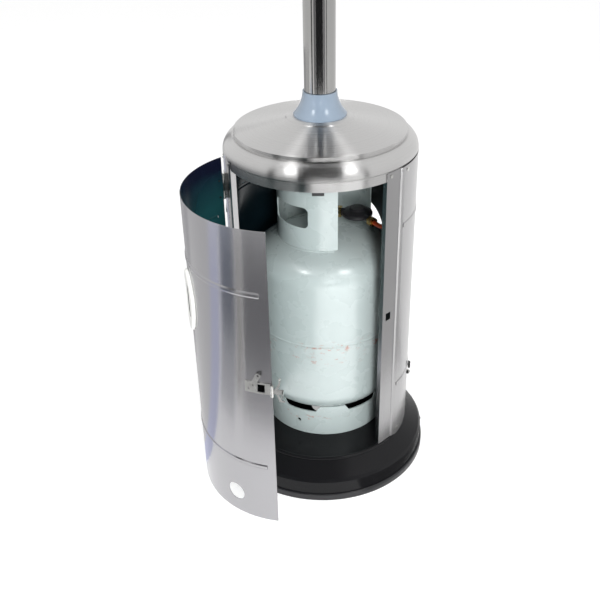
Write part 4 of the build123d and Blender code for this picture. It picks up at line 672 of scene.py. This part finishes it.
# Near and far radius, first and last azimuth, and shade
FLOOR_CARDS = {
    "card_blue": (0.30, 1.8, -158.0, -146.0, (0.80, 0.83, 1.05)),
    "card_side_left": (0.3, 3.5, -196.0, -158.0, (0.88, 0.88, 0.88)),
    "card_back_side": (0.3, 3.5, -232.0, -196.0, (0.60, 0.60, 0.61)),
    "card_dark_left": (1.05, 1.9, -144.0, -128.0, (0.20, 0.22, 0.27)),
    "card_grey_left": (0.7, 1.05, -144.0, -128.0, (0.72, 0.73, 0.76)),
    "card_olive": (0.8, 1.9, -127.0, -122.0, (0.50, 0.49, 0.45)),
    "card_dark_front": (1.0, 1.95, -121.0, -88.0, (0.22, 0.22, 0.23)),
    "card_grey_front": (0.76, 1.0, -121.0, -88.0, (0.55, 0.55, 0.56)),
    "card_far_left": (1.95, 2.8, -150.0, -130.0, (0.95, 1.05, 1.25)),
    "card_foot_right": (0.236, 0.29, -55.0, 60.0, (0.12, 0.12, 0.12)),
    "card_right": (0.5, 2.6, -28.0, 30.0, (0.72, 0.72, 0.72)),
}
# Distance, height, first and last azimuth, and shade
STANDING_CARDS = {
    "card_front": (2.6, 2.4, -103.0, -53.0, (0.03, 0.03, 0.032)),
    "card_front_left": (2.6, 1.2, -118.0, -104.0, (0.30, 0.30, 0.31)),
    "card_front_right": (2.6, 1.2, -52.0, -38.0, (0.40, 0.40, 0.41)),
    "card_stand_left": (2.5, 2.2, -137.5, -128.5, (0.10, 0.10, 0.10)),
    "card_stand_right": (2.5, 2.2, -30.0, -24.0, (0.25, 0.25, 0.25)),
    "card_back_left": (2.4, 1.6, 126.0, 133.0, (0.30, 0.30, 0.31)),
}
for name, (near, far, *turns, colour) in FLOOR_CARDS.items():
    swept_card(name, ((near, CARD_LIFT), (far, CARD_LIFT)), *turns, colour)
for name, (distance, top, *turns, colour) in STANDING_CARDS.items():
    swept_card(name, ((distance, 0.0), (distance, top)), *turns, colour)

# Reach towards the camera, reach aside, height, strength and tilt, for the lamp on the right
LAMP_CARDS = {
    "lamp_over": ((-0.55, 0.55), (0.52, 0.87), 2.88, 3.0, 0.0),
    "lamp_strip": ((-1.8, -0.8), (0.065, 0.11), 2.88, 25.0, 0.0),
    "lamp_window": ((1.2, 1.8), (0.95, 1.5), 2.3, 9.0, 52.0),
}


def lamp_card(name, side, front, aside, height, strength, tilt):
    """A lamp's bright face, on the camera's left (-1) or right (1)."""
    length, width = (front[1] - front[0]) / 2, (aside[1] - aside[0]) / 2
    middle = (side * sum(aside) / 2, -sum(front) / 2, height)
    place = (
        Matrix.Rotation(radians(PHOTO_TURN), 4, "Z")
        @ Matrix.Translation(middle)
        @ Matrix.Rotation(radians(tilt), 4, "X")
        @ Matrix.Diagonal((width, length, 1.0, 1.0))
    )
    shape = bmesh.new()
    bmesh.ops.create_grid(shape, x_segments=1, y_segments=1, size=1.0, matrix=place)
    mirrored_card(name, shape, WHITE, strength)


for side, which in ((-1, "left"), (1, "right")):
    for name, limits in LAMP_CARDS.items():
        lamp_card(f"{name}_{which}", side, *limits)

# Place, the height looked at, size and watts
FILL_AZIMUTH = CAMERA_AZIMUTH + 9.0
SOFT_LAMPS = {
    "lamp_top": (Vector((0.3, -0.8, 3.6)), 0.5, (2.4, 2.4), 30.0),
    "lamp_fill": (polar(2.6, FILL_AZIMUTH, 1.7), 0.4, (0.5, 1.4), 30.0),
    "lamp_low": (polar(2.4, FILL_AZIMUTH, 0.9), 0.4, (0.5, 0.8), 26.0),
    "lamp_left": (Vector((-2.4, -1.6, 1.6)), 0.5, (1.2, 2.4), 14.0),
    "lamp_right": (Vector((2.6, -1.0, 1.4)), 0.5, (1.0, 2.2), 2.0),
}


def soft_lamp(name, place, target_height, size, power):
    """A soft lamp that lights the object and isn't mirrored in it."""
    data = bpy.data.lights.new(name, "AREA")
    data.shape = "RECTANGLE"
    data.size, data.size_y = size
    data.energy = power
    lamp = bpy.data.objects.new(name, data)
    SCENE.collection.objects.link(lamp)
    lamp.location = place
    target = Vector((*POLE_AXIS, target_height))
    lamp.rotation_euler = (target - place).to_track_quat("-Z", "Y").to_euler()
    lamp.visible_glossy = False


for name, limits in SOFT_LAMPS.items():
    soft_lamp(name, *limits)


class Sky(Finish):
    """The world's nodes, worked with as a finish's are."""

    def __init__(self, world):
        world.use_nodes = True
        self.tree = world.node_tree
        self.shader = self.tree.nodes["Background"]


# Dark stripes overhead for the cover's streaks: a broad one on the camera's side of the room
# and a narrow one right over the object. Each pair fades in from its first number to its second.
LIGHT_LEVEL = 0.66
BROAD_FACING = (-0.38, -0.25)
BROAD_UP = (0.0, 0.2)
BROAD_ASIDE = (0.40, 0.30)
BROAD_DARK = 0.94
NARROW_UP = (0.62, 0.7)
NARROW_ASIDE = (0.105, 0.08)
NARROW_DARK = 0.88

SCENE.world = bpy.data.worlds.new("studio")
sky = Sky(SCENE.world)
rays = sky.outputs("LightPath")
glossy = rays["Is Glossy Ray"]
seen = sky.math("MAXIMUM", rays["Is Camera Ray"], rays["Is Transmission Ray"])
east, north, up = sky.axes(sky.node("TexCoord", out="Generated"))
towards = polar(1.0, CAMERA_AZIMUTH)
facing = east * towards.x + north * towards.y
aside = sky.math("ABSOLUTE", north * towards.x - east * towards.y)
broad = sky.band(facing, *BROAD_FACING) * sky.band(up, *BROAD_UP) * sky.band(aside, *BROAD_ASIDE)
narrow = sky.band(up, *NARROW_UP) * sky.band(aside, *NARROW_ASIDE)
mirrored = 1.0 - sky.math("MAXIMUM", broad * BROAD_DARK, narrow * NARROW_DARK)
unseen = glossy * mirrored + (1.0 - glossy) * LIGHT_LEVEL
sky.feed("Color", WHITE)
sky.feed("Strength", seen + (1.0 - seen) * unseen)
